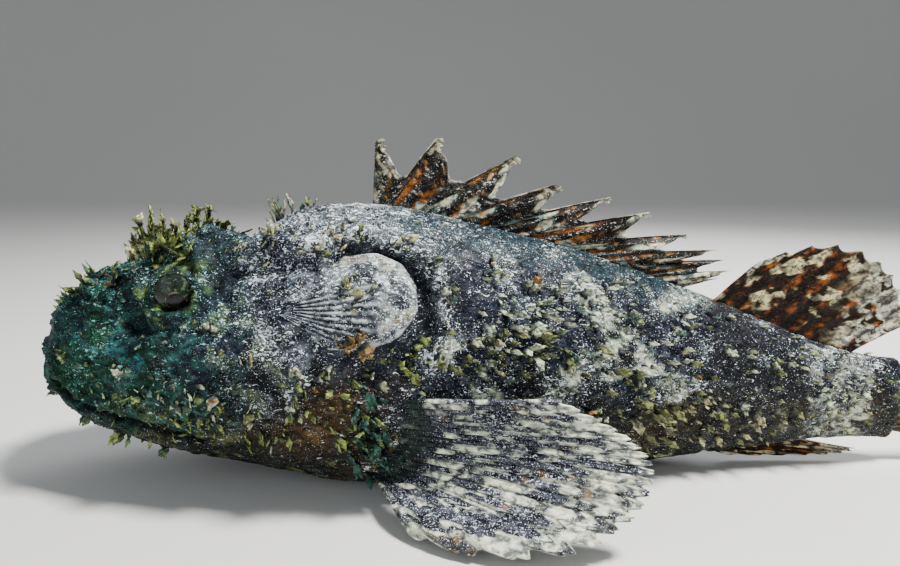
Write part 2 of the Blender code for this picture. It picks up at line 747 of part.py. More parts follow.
def build():
    for old in list(bpy.data.objects):
        bpy.data.objects.remove(old)
    fish = bpy.data.collections.new("spotted_scorpionfish")
    cutters = bpy.data.collections.new("cutters")
    for collection in (fish, cutters):
        bpy.context.scene.collection.children.link(collection)

    head, torso, stalk = (flesh(name, *loft, fish) for name, loft in LOFTS.items())
    round_head, round_torso, round_stalk = (
        flesh(name + "_seat", *loft, cutters, lift=GAP) for name, loft in LOFTS.items()
    )
    jaw = flesh("lower_jaw", *JAW_LOFT, fish)
    apply_boolean(jaw, "INTERSECT", other=lower_jaw_block("jaw_block", MOUTH_GAP / MM / 2, cutters))
    apply_boolean(head, "DIFFERENCE", other=lower_jaw_block("mouth_block", -MOUTH_GAP / MM / 2, cutters))
    for side, word in ((-1, "left"), (1, "right")):
        socket = eye("socket_" + word, side, SOCKET_RADIUS, cutters)
        apply_boolean(head, "DIFFERENCE", other=socket)
        eye("eye_" + word, side, EYE_RADIUS, fish)
        for place, height in NOSTRILS:
            apply_boolean(head, "DIFFERENCE", other=nostril(place, height, side < 0, cutters))
    keep_largest(head)
    keep_largest(jaw)
    add_spikes(head, HEAD_SPIKES, cutters)
    add_spikes(jaw, JAW_SPIKES, cutters)
    add_spikes(torso, TORSO_SPIKES, cutters)
    add_spikes(stalk, STALK_SPIKES, cutters)

    dorsal = spiny_dorsal(fish)
    soft = soft_dorsal(fish)
    anal = anal_fin(fish)
    tail = tail_fin(fish)
    seat(dorsal, [round_torso])
    for obj in (soft, anal, tail):
        seat(obj, [round_stalk])
    for side, word in ((-1, "left"), (1, "right")):
        seat(breast_fin("breast_fin_" + word, side, fish), [round_torso])
        seat(belly_fin("belly_fin_" + word, side, fish), [round_torso])
        seat(tentacle("tentacle_" + word, side, fish), [round_head])
        seat(gill_cover("gill_cover_" + word, side, fish), [round_head, round_torso])
    for cutter in cutters.objects:
        cutter.hide_render = True
        cutter.display_type = "WIRE"

    skins = {
        "head": "skin",
        "lower_jaw": "skin",
        "torso": "skin",
        "tail_stalk": "skin",
        "dorsal": "dorsal",
        "eye": "eye",
        "tentacle": "tassel",
        "gill": "skin",
    }
    roughness = {"eye": EYE_ROUGHNESS}
    for obj in fish.objects:
        kind = next((skins[word] for word in skins if obj.name.startswith(word)), "fin")
        made = material(obj.name + "_" + kind, COLOURS[kind], roughness.get(kind, SKIN_ROUGHNESS))
        obj.data.materials.clear()
        obj.data.materials.append(made)


build()
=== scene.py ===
"""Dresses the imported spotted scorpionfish: one mottled skin, ribbed fins, eyes and soft skin flaps.

Places along the fish are millimetres behind the snout tip and heights are millimetres above the
floor, as in the solids' own source. A finished piece is in metres in the part's frame.
"""

import logging
import math
from dataclasses import dataclass, field
from enum import Enum
from typing import Sequence

import bpy
import numpy as np
from mathutils import Euler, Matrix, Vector


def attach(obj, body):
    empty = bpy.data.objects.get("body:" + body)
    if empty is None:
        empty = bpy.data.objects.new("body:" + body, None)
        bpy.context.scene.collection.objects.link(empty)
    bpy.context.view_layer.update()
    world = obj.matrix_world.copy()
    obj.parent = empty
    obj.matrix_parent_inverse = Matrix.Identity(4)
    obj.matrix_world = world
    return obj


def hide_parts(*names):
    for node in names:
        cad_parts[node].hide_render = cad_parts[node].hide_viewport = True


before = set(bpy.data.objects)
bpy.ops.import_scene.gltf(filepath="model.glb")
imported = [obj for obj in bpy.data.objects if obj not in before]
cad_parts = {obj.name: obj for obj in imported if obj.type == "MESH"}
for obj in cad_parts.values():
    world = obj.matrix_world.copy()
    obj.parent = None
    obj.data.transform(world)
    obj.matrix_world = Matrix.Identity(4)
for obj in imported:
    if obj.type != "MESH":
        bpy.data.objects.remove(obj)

Array = np.ndarray
Piece = bpy.types.Object
Socket = bpy.types.NodeSocket

LOG = logging.getLogger("scorpionfish")
MM = 0.001
ORIGIN_FROM_SNOUT = 125.0
LENGTH = 270.0
BODY = "root"
LAYERS = ("ground", "fleck", "share")

NAVY = (0.0052, 0.0084, 0.0205)
INK = (0.0018, 0.0024, 0.0040)
FROST = (0.71, 0.79, 0.83)


def step(value: Array, low: float, high: float) -> Array:
    """Smooth rise from 0 at low to 1 at high.

    Args:
        value: Where to read the rise.
        low: Where it starts.
        high: Where it ends.

    Returns:
        The rise, between 0 and 1.
    """
    t = np.clip((value - low) / (high - low), 0, 1)
    return t * t * (3 - 2 * t)


def between(value: Array, low: float, high: float, edge: float) -> Array:
    """A band that is 1 from low to high and fades over edge on both sides.

    Args:
        value: Where to read the band.
        low: Where the band starts.
        high: Where the band ends.
        edge: The width of each fade.

    Returns:
        The band, between 0 and 1.
    """
    return step(value, low - edge, low + edge) * (1 - step(value, high - edge, high + edge))


def blend(a: Array, b: Sequence[float], share: Array) -> Array:
    """Mixes colours by a share for each point.

    Args:
        a: The colours to start from.
        b: The colour to mix in.
        share: How much of b each point takes.

    Returns:
        The mixed colours.
    """
    return a * (1 - share[..., None]) + np.asarray(b) * share[..., None]


def flat(like: Array, colour: Sequence[float]) -> Array:
    """The same colour for every value of an array."""
    return np.ones(like.shape + (3,)) * colour


class Ground:
    """The ground colour of a set of points, built up one colour over another."""

    def __init__(self, like: Array, colour: Sequence[float]) -> None:
        """Starts with the same colour everywhere.

        Args:
            like: An array with one value for each point.
            colour: The colour to start from.
        """
        self.colour = flat(like, colour)

    def lay(self, colour: Sequence[float], share: Array) -> None:
        """Mixes a colour in.

        Args:
            colour: The colour.
            share: How much of it each point takes.
        """
        self.colour = blend(self.colour, colour, share)


def curve_through(x: Array, xs: Array, ys: Array) -> Array:
    """A smooth curve through points, with each slope taken from the neighbours.

    Args:
        x: Where to read the curve.
        xs: The points' places, rising.
        ys: The points' values.

    Returns:
        The curve's values.
    """
    slopes = np.gradient(ys, xs)
    i = np.clip(np.searchsorted(xs, x, side="right") - 1, 0, len(xs) - 2)
    gap = xs[i + 1] - xs[i]
    t = np.clip((x - xs[i]) / gap, 0, 1)
    return (
        ys[i] * (1 + 2 * t) * (1 - t) ** 2
        + slopes[i] * gap * t * (1 - t) ** 2
        + ys[i + 1] * t * t * (3 - 2 * t)
        - slopes[i + 1] * gap * t * t * (1 - t)
    )


def cloud(points: Array, size: float, seed: int, layers: int = 1) -> Array:
    """Soft noise with blobs of about the given size.

    Args:
        points: Places to read it at.
        size: The blobs' size, in the points' own unit.
        seed: Which noise to use.
        layers: How many finer layers are added, each half as strong.

    Returns:
        Values between 0 and 1, about 0.5 on average.
    """
    total, weight = 0.0, 0.0
    for layer in range(layers):
        scaled = np.asarray(points) / (size / 2**layer) + 37.7 * (seed + 11 * layer)
        cell = np.floor(scaled)
        inner = scaled - cell
        inner = inner * inner * (3 - 2 * inner)
        value = 0.0
        for corner in range(8):
            offset = np.array([(corner >> bit) & 1 for bit in range(3)])
            at = cell + offset
            raw = np.sin(at @ np.array((127.1, 311.7, 74.7)) + seed * 19.19) * 43758.5453
            share = np.prod(np.where(offset, inner, 1 - inner), axis=-1)
            value = value + (raw - np.floor(raw)) * share
        total = total + value / 2**layer
        weight += 1 / 2**layer
    return total / weight


def to_path(x: Array, z: Array, path: Sequence[Sequence[float]]) -> Array:
    """Distance, seen from the side, to the nearest stretch of a path.

    Args:
        x: Places along the fish.
        z: Heights.
        path: The path's points.

    Returns:
        The distances.
    """
    nearest = np.full(np.shape(x), 1e9)
    for (x0, z0), (x1, z1) in zip(path, path[1:]):
        length = (x1 - x0) ** 2 + (z1 - z0) ** 2
        t = np.clip(((x - x0) * (x1 - x0) + (z - z0) * (z1 - z0)) / length, 0, 1)
        nearest = np.minimum(nearest, np.hypot(x - x0 - t * (x1 - x0), z - z0 - t * (z1 - z0)))
    return nearest


def to_world(points: Array) -> Array:
    """Turns millimetres behind the snout into metres in the part's frame."""
    return (np.asarray(points) - np.array((ORIGIN_FROM_SNOUT, 0, 0))) * MM


def surface_normals(points: Array) -> Array:
    """Unit normals of a grid of points, from its rows and columns."""
    normal = np.cross(np.gradient(points, axis=1), np.gradient(points, axis=0))
    return normal / np.maximum(np.linalg.norm(normal, axis=-1, keepdims=True), 1e-9)


@dataclass
class BodyForm:
    """The body's form, judged and listed here, which the skin, the flaps and the fins' roots all
    follow.
    """

    # Distance from the snout, heights of the back and the belly, half width, height where it is
    # widest, and how square the section is above and below that
    stations: Array = field(
        default_factory=lambda: np.array(
            (
                (0, 56, 25, 14, 38, 2.0, 2.0),
                (8, 58, 21, 18, 37, 2.0, 2.1),
                (17, 63, 17, 22, 35, 1.9, 2.2),
                (26, 67, 13, 25, 34, 1.8, 2.2),
                (36, 70, 10, 28, 34, 1.8, 2.2),
                (48, 72, 7, 30.5, 35, 1.85, 2.2),
                (60, 75, 5, 32.5, 37, 1.9, 2.2),
                (72, 80, 3, 34, 38, 1.95, 2.3),
                (86, 83, 0, 35, 40, 2.0, 2.4),
                (100, 84, -1.5, 35, 40, 2.0, 2.4),
                (120, 81, -1.5, 33, 40, 1.9, 2.3),
                (140, 76, -1.5, 29.5, 39, 1.8, 2.2),
                (160, 71, -1.2, 25, 37, 1.8, 2.1),
                (180, 64.5, 0.6, 20, 35, 1.8, 2.0),
                (202, 56, 3, 14.5, 31, 1.8, 2.0),
                (222, 48, 5.5, 10.5, 28, 1.8, 2.0),
                (242, 40, 8, 7.5, 25, 1.8, 2.0),
                (258, 36, 8.5, 5.0, 22, 2.0, 2.0),
                (270, 34.5, 7.8, 2.6, 21.5, 2.0, 2.0),
            )
        )
    )
    nose_round: tuple = (12.0, 8.0)
    end_round: float = 4.0
    mouth: tuple = ((-4, 41), (3, 40), (8, 37), (14, 31), (22, 27), (40, 23.5), (55, 19))
    mouth_end: float = 57.0
    eye_place: tuple = (47.0, 16.4, 60.5)
    eye_rim: tuple = (10.4, 2.2, 3.0)
    side_fade: tuple = (3.0, 9.0)
    side_bumps: tuple = (
        (46, 70.5, 7.5, 7.0),
        (17, 43, 4, 2.4),
        (20, 61, 5, 1.6),
        (9, 51, 6, 1.2),
        (36, 52.5, 5.5, -4.8),
        (62, 60, 7, -1.8),
        (74, 66, 5, -1.6),
        (12, 47, 3.5, -1.0),
        (27, 49, 4, -1.4),
        (92, 57, 5, 1.0),
    )
    side_plates: tuple = ((47, 38.5, 17, 6.5, 1.7), (90, 40, 9, 12, 0.8))
    shoulder_groove: tuple = (
        (96, 72.5),
        (106, 71.5),
        (113, 68),
        (117.5, 61),
        (117.5, 51),
        (112, 44),
        (102, 41),
    )
    side_ridges: tuple = (
        (2.8, 2.4, ((22, 45), (38, 47.5), (60, 46.8), (72, 44.5), (84, 44.5))),
        (2.4, 2.8, ((56, 68.5), (66, 71), (73, 74.5), (82, 73), (90, 73.5))),
        (2.6, -2.0, ((64, 66.5), (76, 69), (92, 69))),
        (2.6, 1.6, ((84, 44.5), (84, 34), (76, 22))),
        (
            2.4,
            2.8,
            ((97, 76.5), (105, 75), (111, 73), (117, 70.5), (121, 64), (122, 54), (119, 44)),
        ),
        (1.8, 1.6, ((3, 43), (9, 40), (15, 34), (23, 30), (40, 27))),
        (2.2, 1.6, ((2, 36.5), (8, 33.5), (14, 27.5), (22, 23.5), (40, 20), (52, 16.5))),
    )
    top_bumps: tuple = (
        (45, 0, 16, 7, -3.6),
        (66, 0, 8, 9, -2.2),
        (80, 9, 9, 3, 1.2),
        (22, 8, 6, 3.5, 1.6),
    )

    def profile(self, x: Array, column: int) -> Array:
        """One column of the stations, smoothed, at each place along the fish."""
        return curve_through(np.asarray(x, float), self.stations[:, 0], self.stations[:, column])

    def plain(self, x: Array, turn: Array) -> Array:
        """Points of the body without its relief.

        Args:
            x: Places along the fish.
            turn: Angles round the section, from the right side over the back.

        Returns:
            The points.
        """
        x, turn = np.broadcast_arrays(np.asarray(x, float), np.asarray(turn, float))
        top, bottom, half, waist, above, below = (self.profile(x, k) for k in range(1, 7))

        def rounding(along: Array, reach: float) -> Array:
            return np.sqrt(np.clip(1 - (1 - np.clip(along / reach, 0, 1)) ** 2, 0, 1))

        tail = rounding(LENGTH - x, self.end_round)
        crown = rounding(x, self.nose_round[0]) * tail
        chin = rounding(x, self.nose_round[1]) * tail
        c, s = np.cos(turn), np.sin(turn)
        reach = np.where(s >= 0, (top - waist) * crown, (waist - bottom) * chin)
        y = half * crown * np.sign(c) * np.abs(c) ** (2 / np.where(s >= 0, above, below))
        z = waist + reach * np.sign(s) * np.abs(s) ** (2 / np.where(s >= 0, above, below))
        return np.stack([x, y, z], axis=-1)

    def relief(self, point: Array) -> Array:
        """How far ridges, pits, lips and rims stand out from the plain body."""
        x, y, z = point[..., 0], np.abs(point[..., 1]), point[..., 2]
        side = np.zeros(x.shape)
        for place, height, radius, rise in self.side_bumps:
            side += rise * np.exp(-((x - place) ** 2 + (z - height) ** 2) / radius**2)
        for place, height, half_length, half_height, rise in self.side_plates:
            off = ((x - place) / half_length) ** 2 + ((z - height) / half_height) ** 2
            side += rise * np.exp(-(off**4))
        for radius, rise, path in self.side_ridges:
            side += rise * np.exp(-((to_path(x, z, path) / radius) ** 2))
        side -= 2.4 * np.exp(-((to_path(x, z, self.shoulder_groove) / 3.6) ** 2))
        from_eye = np.sqrt(sum((a - b) ** 2 for a, b in zip((x, y, z), self.eye_place)))
        radius, width, rise = self.eye_rim
        side += rise * np.exp(-(((from_eye - radius) / width) ** 2))
        top = np.zeros(x.shape)
        for place, across, length, breadth, rise in self.top_bumps:
            off = ((x - place) / length) ** 2 + ((y - across) / breadth) ** 2
            top += rise * np.exp(-off)
        return side * step(y, *self.side_fade) + top * step(z, 45, 60)

    def point(self, x: Array, turn: Array, lift: float = 0.0) -> Array:
        """Points of the finished body.

        Args:
            x: Places along the fish.
            turn: Angles round the section.
            lift: How far off the surface to stand.

        Returns:
            The points.
        """
        small = 0.05
        x, turn = np.broadcast_arrays(np.asarray(x, float), np.asarray(turn, float))
        point = self.plain(x, turn)
        along = self.plain(x + small, turn) - self.plain(x - small, turn)
        around = self.plain(x, turn + small) - self.plain(x, turn - small)
        normal = np.cross(around, along)
        normal /= np.maximum(np.linalg.norm(normal, axis=-1, keepdims=True), 1e-9)
        axis = np.stack([x, 0 * x, self.profile(x, 4)], axis=-1)
        normal *= np.where((normal * (point - axis)).sum(-1, keepdims=True) < 0, -1.0, 1.0)
        point = point + normal * (self.relief(point) + lift)[..., None]
        point[..., 2] = np.maximum(point[..., 2], 0.0)
        return point

    def side_turn(self, x: float, height: float, left: bool) -> float:
        """The angle at which the section at x reaches a height, on one side."""
        turns = np.linspace(-math.pi / 2, math.pi / 2, 181)
        heights = self.point(np.full(turns.shape, float(x)), turns)[:, 2]
        turn = float(np.interp(height, np.maximum.accumulate(heights), turns))
        return math.pi - turn if left else turn


FORM = BodyForm()


class Bench:
    """Makes meshes from Blender's own primitives and finishes them in edit mode."""

    @staticmethod
    def clear() -> None:
        """Leaves nothing selected."""
        if bpy.context.object and bpy.context.object.mode != "OBJECT":
            bpy.ops.object.mode_set(mode="OBJECT")
        bpy.ops.object.select_all(action="DESELECT")

    @staticmethod
    def grid(name: str, points: Array) -> Piece:
        """A grid primitive whose points are moved to the given places.

        Args:
            name: The piece's name.
            points: Rows of columns of places, in millimetres behind the snout.

        Returns:
            The piece.
        """
        rows, columns = points.shape[:2]
        Bench.clear()
        bpy.ops.mesh.primitive_grid_add(x_subdivisions=columns - 1, y_subdivisions=rows - 1, size=1)
        piece = bpy.context.object
        piece.name = piece.data.name = name
        piece.data.vertices.foreach_set("co", to_world(points).astype(np.float32).ravel())
        return piece

    @staticmethod
    def paint(piece: Piece, name: str, values: Array) -> None:
        """Stores a number or a colour on every point of a piece.

        Args:
            piece: The piece.
            name: The attribute's name.
            values: One number, or one colour, for each point.
        """
        flat = np.asarray(values, np.float32)
        if flat.ndim > 1 and flat.shape[-1] == 3:
            layer = piece.data.attributes.new(name, "FLOAT_COLOR", "POINT")
            flat = flat.reshape(-1, 3)
            flat = np.concatenate([flat, np.ones((len(flat), 1), np.float32)], axis=1)
            layer.data.foreach_set("color", flat.ravel())
        else:
            layer = piece.data.attributes.new(name, "FLOAT", "POINT")
            layer.data.foreach_set("value", flat.ravel())

    @staticmethod
    def close(piece: Piece, distance: float = 2e-6) -> None:
        """Welds a piece's seams and poles, turns its faces outwards and smooths it.

        Args:
            piece: The piece.
            distance: Points nearer than this become one.
        """
        Bench.clear()
        bpy.context.view_layer.objects.active = piece
        piece.select_set(True)
        bpy.ops.object.mode_set(mode="EDIT")
        bpy.ops.mesh.select_all(action="SELECT")
        bpy.ops.mesh.remove_doubles(threshold=distance)
        bpy.ops.mesh.normals_make_consistent(inside=False)
        bpy.ops.object.mode_set(mode="OBJECT")
        bpy.ops.object.shade_smooth()

    @staticmethod
    def finish(piece: Piece, material: bpy.types.Material, slot: str, *nodes: str) -> None:
        """Gives a piece its finish and its place on the frame.

        Args:
            piece: The piece.
            material: Its finish.
            slot: Not used.
            *nodes: The nodes that the piece stands for.
        """
        piece.data.materials.clear()
        piece.data.materials.append(material)
        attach(piece, BODY)
        if nodes:
            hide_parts(*nodes)
        LOG.info("%s: %d faces", piece.name, len(piece.data.polygons))


@dataclass(frozen=True)
class MottledFinish:
    """Wet skin with flecks, dust and grain; its two colours are stored on the piece."""

    name: str
    fleck_size: float = 0.72
    dust_size: float = 0.36
    cluster_size: float = 5.5
    streak: float = 0.50
    slant: float = 0.6
    roughness: float = 0.52
    shine: float = 0.10
    grain: float = 0.65
    scale_size: float = 2.2
    scale_depth: float = 0.40
    coat: float = 0.03
    haze: float = 0.06
    haze_size: float = 1.5
    # How each layer's level falls with the share of flecks, where it starts and how soft it is
    fleck_cut: tuple = (-0.27, 0.71, 0.012)
    dust_cut: tuple = (-0.17, 0.72, 0.02)
    haze_cut: tuple = (-0.26, 0.64, 0.07)

    def build(self) -> bpy.types.Material:
        """Makes the material's nodes.

        Returns:
            The material.
        """
        made = bpy.data.materials.new(self.name)
        made.use_nodes = True
        nodes, links = made.node_tree.nodes, made.node_tree.links
        shader = nodes["Principled BSDF"]

        def node(kind: str, **values: object) -> bpy.types.Node:
            new = nodes.new(kind)
            for key, value in values.items():
                setattr(new, key, value)
            return new

        def stored(key: str, output: str) -> Socket:
            return node("ShaderNodeAttribute", attribute_name=key).outputs[output]

        def maths(operation: str, *inputs: object) -> Socket:
            new = node("ShaderNodeMath", operation=operation)
            for k, value in enumerate(inputs):
                if isinstance(value, Socket):
                    links.new(value, new.inputs[k])
                else:
                    new.inputs[k].default_value = value
            return new.outputs[0]

        coordinates = node("ShaderNodeTexCoord").outputs["Object"]

        def pattern(size: float, detail: float, squeeze: float = 1, bend: float = 0) -> Socket:
            turned = node("ShaderNodeMapping")
            turned.inputs["Rotation"].default_value = (0, self.slant, 0)
            turned.inputs["Scale"].default_value = (squeeze, 1, 1)
            links.new(coordinates, turned.inputs["Vector"])
            noise = node("ShaderNodeTexNoise")
            noise.inputs["Scale"].default_value = 1 / (size * MM)
            noise.inputs["Detail"].default_value = detail
            noise.inputs["Roughness"].default_value = 0.55
            noise.inputs["Distortion"].default_value = bend
            links.new(turned.outputs[0], noise.inputs["Vector"])
            return noise.outputs[0]

        def specks(value: Socket, share: Socket, cut: tuple) -> Socket:
            fall, start, soft = cut
            level = maths("MULTIPLY_ADD", share, fall, start)
            ramp = node("ShaderNodeMapRange")
            links.new(maths("SUBTRACT", value, level), ramp.inputs["Value"])
            ramp.inputs["From Min"].default_value = -soft
            ramp.inputs["From Max"].default_value = soft
            return ramp.outputs[0]

        share = stored("share", "Fac")
        cluster = maths("MULTIPLY_ADD", pattern(self.cluster_size, 2.0), 2.6, -0.45)
        patchy = maths("MULTIPLY", share, cluster)
        flecks = pattern(self.fleck_size, 2.5, self.streak, 0.7)
        worms = specks(flecks, patchy, self.fleck_cut)
        dust = specks(pattern(self.dust_size, 1.0), share, self.dust_cut)
        haze = specks(pattern(self.haze_size, 4.0, self.streak, 0.7), share, self.haze_cut)
        mask = maths("MAXIMUM", worms, maths("MULTIPLY", dust, 0.9))
        mask = maths("MAXIMUM", mask, maths("MULTIPLY", haze, self.haze))

        shade = node("ShaderNodeMix", data_type="RGBA", blend_type="MULTIPLY")
        shade.inputs["Factor"].default_value = 1.0
        links.new(stored("ground", "Color"), shade.inputs["A"])
        tone = node("ShaderNodeValToRGB")
        dim, bright = tone.color_ramp.elements
        dim.position, bright.position = 0.40, 0.60
        dim.color, bright.color = (0.20, 0.21, 0.25, 1), (1.38, 1.36, 1.28, 1)
        links.new(pattern(1.7, 5.0, 0.7, 0.5), tone.inputs[0])
        links.new(tone.outputs["Color"], shade.inputs["B"])

        colour = node("ShaderNodeMix", data_type="RGBA")
        links.new(mask, colour.inputs["Factor"])
        links.new(shade.outputs["Result"], colour.inputs["A"])
        links.new(stored("fleck", "Color"), colour.inputs["B"])
        links.new(colour.outputs["Result"], shader.inputs["Base Color"])

        gloss = node("ShaderNodeMapRange")
        links.new(pattern(5.0, 3.0), gloss.inputs["Value"])
        gloss.inputs["From Min"].default_value = 0.3
        gloss.inputs["From Max"].default_value = 0.7
        gloss.inputs["To Min"].default_value = self.roughness - 0.12
        gloss.inputs["To Max"].default_value = self.roughness + 0.14
        links.new(gloss.outputs[0], shader.inputs["Roughness"])

        cells = node("ShaderNodeTexVoronoi", feature="F1")
        cells.inputs["Scale"].default_value = 1 / (self.scale_size * MM)
        links.new(coordinates, cells.inputs["Vector"])
        height = maths("MULTIPLY", pattern(0.9, 5.0), self.grain)
        height = maths("MULTIPLY_ADD", mask, 0.15, height)
        height = maths("MULTIPLY_ADD", cells.outputs["Distance"], -self.scale_depth, height)
        bump = node("ShaderNodeBump")
        bump.inputs["Strength"].default_value = 0.8
        bump.inputs["Distance"].default_value = 1.25 * MM
        links.new(height, bump.inputs["Height"])
        links.new(bump.outputs[0], shader.inputs["Normal"])
        shader.inputs["Specular IOR Level"].default_value = self.shine
        shader.inputs["Coat Weight"].default_value = self.coat
        shader.inputs["Coat Roughness"].default_value = 0.25
        return made


class Side(Enum):
    """A side of the fish; the value is the sign of y."""

    LEFT = -1
    RIGHT = 1

    @property
    def word(self) -> str:
        """The side's name in the nodes' names."""
        return self.name.lower()


class Tint(Enum):
    """A leaflet's colour at its tip."""

    STRAW = (0.38, 0.37, 0.20)
    LICHEN = (0.20, 0.25, 0.07)
    WEED = (0.035, 0.105, 0.080)
    TAN = (0.21, 0.135, 0.055)
    SAGE = (0.42, 0.48, 0.34)
    OLIVE = (0.15, 0.165, 0.065)


class SkinPaint:
    """Paints the skin one region after another, each over those before it."""

    def __init__(self, point: Array) -> None:
        """Reads the places and the noise that the regions share.

        Args:
            point: The skin's points.
        """
        self.point = point
        self.x, self.y, self.z = point[..., 0], np.abs(point[..., 1]), point[..., 2]
        self.top = FORM.profile(self.x, 1)
        slanted = point @ np.array(((0.8, 0, -0.6), (0, 1, 0), (0.5, 0, 1.0))).T
        self.broad, self.middle = cloud(slanted, 13, 5, 2), cloud(slanted, 6.5, 6, 3)
        self.small = cloud(slanted, 3, 7, 2)
        finest = cloud(slanted, 1.3, 10, 2)
        self.ragged = self.middle + 0.5 * (self.small - 0.5) + 0.35 * (finest - 0.5)
        self.low = 1 - step(self.z, 20, 32)
        self.ground = Ground(self.x, NAVY)
        self.fleck = flat(self.x, FROST)
        self.share = 0.30 + 1.1 * (self.middle - 0.5)

    def trunk(self) -> None:
        """Paints the trunk navy with inky clouds and a blue sheen, and the nape paler."""
        x, z = self.x, self.z
        top, broad, small = self.top, self.broad, self.small
        ragged, ground = self.ragged, self.ground
        ground.lay(INK, step(broad, 0.46, 0.62) * 0.85)
        sheen = step(ragged, 0.52, 0.60) * (1 - step(broad, 0.50, 0.60))
        ground.lay((0.012, 0.026, 0.048), sheen * 0.75)
        back = step(z, top - 20, top - 4) * (1 - step(x, 196, 214))
        ground.lay((0.014, 0.022, 0.036), back * step(broad, 0.4, 0.6) * 0.7)
        self.share += 0.02 * back
        nape = between(x, 66, 116, 8) * step(z, 64, 76)
        ground.lay((0.050, 0.068, 0.085), nape * step(small, 0.46, 0.58) * 0.9)
        self.share += 0.20 * nape

    def flanks(self) -> None:
        """Paints the lower flanks dark with moss, and pale blotches above the breast fin."""
        x, z = self.x, self.z
        broad, ragged, low, ground = self.broad, self.ragged, self.low, self.ground
        ground.lay((0.006, 0.007, 0.003), low * 0.92)
        ground.lay((0.030, 0.017, 0.005), low * step(broad, 0.52, 0.62) * 0.7)
        ground.lay((0.085, 0.085, 0.018), low * step(ragged, 0.56, 0.61) * 0.8)
        ground.lay((0.42, 0.42, 0.22), low * step(x, 108, 130) * step(ragged, 0.67, 0.71) * 0.8)
        self.share -= 0.20 * low
        patch = between(x, 124, 205, 10) * between(z, 30, 66, 7)
        ground.lay((0.10, 0.14, 0.10), patch * step(ragged, 0.57, 0.64) * 0.8)
        ground.lay((0.50, 0.54, 0.40), patch * step(ragged, 0.66, 0.71) * 0.9)

    def head(self) -> None:
        """Paints the head dark teal, partly its own colour and partly painted shade with a teal tint,
        with bright veins, green-blue flecks and a ring of painted shade round the eye.
        """
        x, y, z = self.x, self.y, self.z
        broad, middle, small, ground = self.broad, self.middle, self.small, self.ground
        # The head's front: partly its own dark teal, partly painted shade with a blue-green tint of
        # the light
        front = (1 - step(x + 30 * (middle - 0.5), 22, 66)) * step(z, 14, 28)
        ground.lay((0.0016, 0.0150, 0.0150), front * 0.94)
        streak = np.abs(cloud(self.point, 5.0, 8, 2) - 0.5)
        vein = np.exp(-((streak / 0.022) ** 2)) * step(broad, 0.42, 0.6)
        ground.lay((0.020, 0.17, 0.145), front * vein * 0.8)
        emerald = front * step(cloud(self.point, 9, 9, 2), 0.50, 0.60)
        ground.lay((0.003, 0.034, 0.011), emerald * 0.8)
        self.fleck = blend(self.fleck, (0.10, 0.40, 0.34), front * 0.9)
        teal = between(x, 30, 66, 12) * step(z, 16, 26)
        self.fleck = blend(self.fleck, (0.26, 0.55, 0.55), teal * (1 - front) * 0.8)
        self.share -= 0.10 * front
        self.share -= 0.12 * teal
        cheek = between(x, 26, 92, 8) * between(z, 24, 60, 5)
        ground.lay((0.012, 0.062, 0.055), cheek * step(small, 0.5, 0.62) * (1 - step(x, 50, 80)))
        ground.lay((0.065, 0.095, 0.030), cheek * step(middle, 0.58, 0.66) * 0.6)
        orbit = np.sqrt(sum((a - b) ** 2 for a, b in zip((x, y, z), FORM.eye_place)))
        # Painted shade in the hollow round the eye, then olive specks over it
        around = 1 - step(orbit, 10, 15)
        ground.lay((0.003, 0.018, 0.015), around * 0.85)
        ground.lay((0.085, 0.135, 0.030), around * step(small, 0.54, 0.64) * 0.9)

    def throat(self) -> None:
        """Paints the throat, a rusty place behind the jaw and a bright streak on the cheek, which is
        a painted highlight along its ridge.
        """
        x, y, z = self.x, self.y, self.z
        middle, small, ragged, ground = self.middle, self.small, self.ragged, self.ground
        throat = (1 - step(z, 12, 24)) * (1 - step(x, 84, 100))
        ground.lay((0.0035, 0.0050, 0.0030), throat * 0.92)
        ground.lay((0.050, 0.024, 0.005), throat * step(middle, 0.56, 0.64) * 0.8)
        ground.lay((0.065, 0.085, 0.018), throat * step(ragged, 0.60, 0.65) * 0.8)
        self.share -= 0.16 * throat
        rusty = np.exp(-(((x - 93) / 13) ** 2) - (((z - 30 - 0.5 * (x - 93)) / 8) ** 2)) * (y > 8)
        ground.lay((0.045, 0.022, 0.005), np.clip(1.5 * rusty, 0, 1) * 0.9)
        ground.lay((0.095, 0.052, 0.010), rusty * step(ragged, 0.54, 0.62) * 0.9)
        self.share -= 0.22 * rusty
        # A painted highlight: a bright streak along the ridge below the eye
        ridge_highlight = np.exp(-((to_path(x, z, ((20, 46), (33, 45), (47, 42))) / 2.6) ** 2)) * (y > 8)
        ground.lay((0.020, 0.115, 0.135), ridge_highlight * step(small, 0.42, 0.56) * 0.9)
        self.share += 0.10 * ridge_highlight

    def gills(self) -> None:
        """Paints round the gill fan, painted shade in the groove behind it and the ridge along the
        groove.
        """
        x, y, z = self.x, self.y, self.z
        small, ground = self.small, self.ground
        fan = 1 - step(np.hypot(x - 92, (z - 58) * 1.2), 17, 27)
        ground.lay((0.050, 0.064, 0.080), fan * step(small, 0.50, 0.6) * 0.8)
        self.share += 0.10 * fan
        # Painted shade in the groove behind the gill fan, with fewer flecks there
        groove_shade = np.exp(-((to_path(x, z, FORM.shoulder_groove) / 2.8) ** 2)) * (y > 8)
        ground.lay((0.007, 0.010, 0.018), groove_shade * 0.95)
        self.share = self.share * (1 - groove_shade) + 0.05 * groove_shade
        ridge = np.exp(-((to_path(x, z, FORM.side_ridges[4][2]) / 2.0) ** 2)) * (y > 8)
        ground.lay((0.075, 0.09, 0.10), ridge * step(small, 0.46, 0.6))
        self.share += 0.18 * ridge

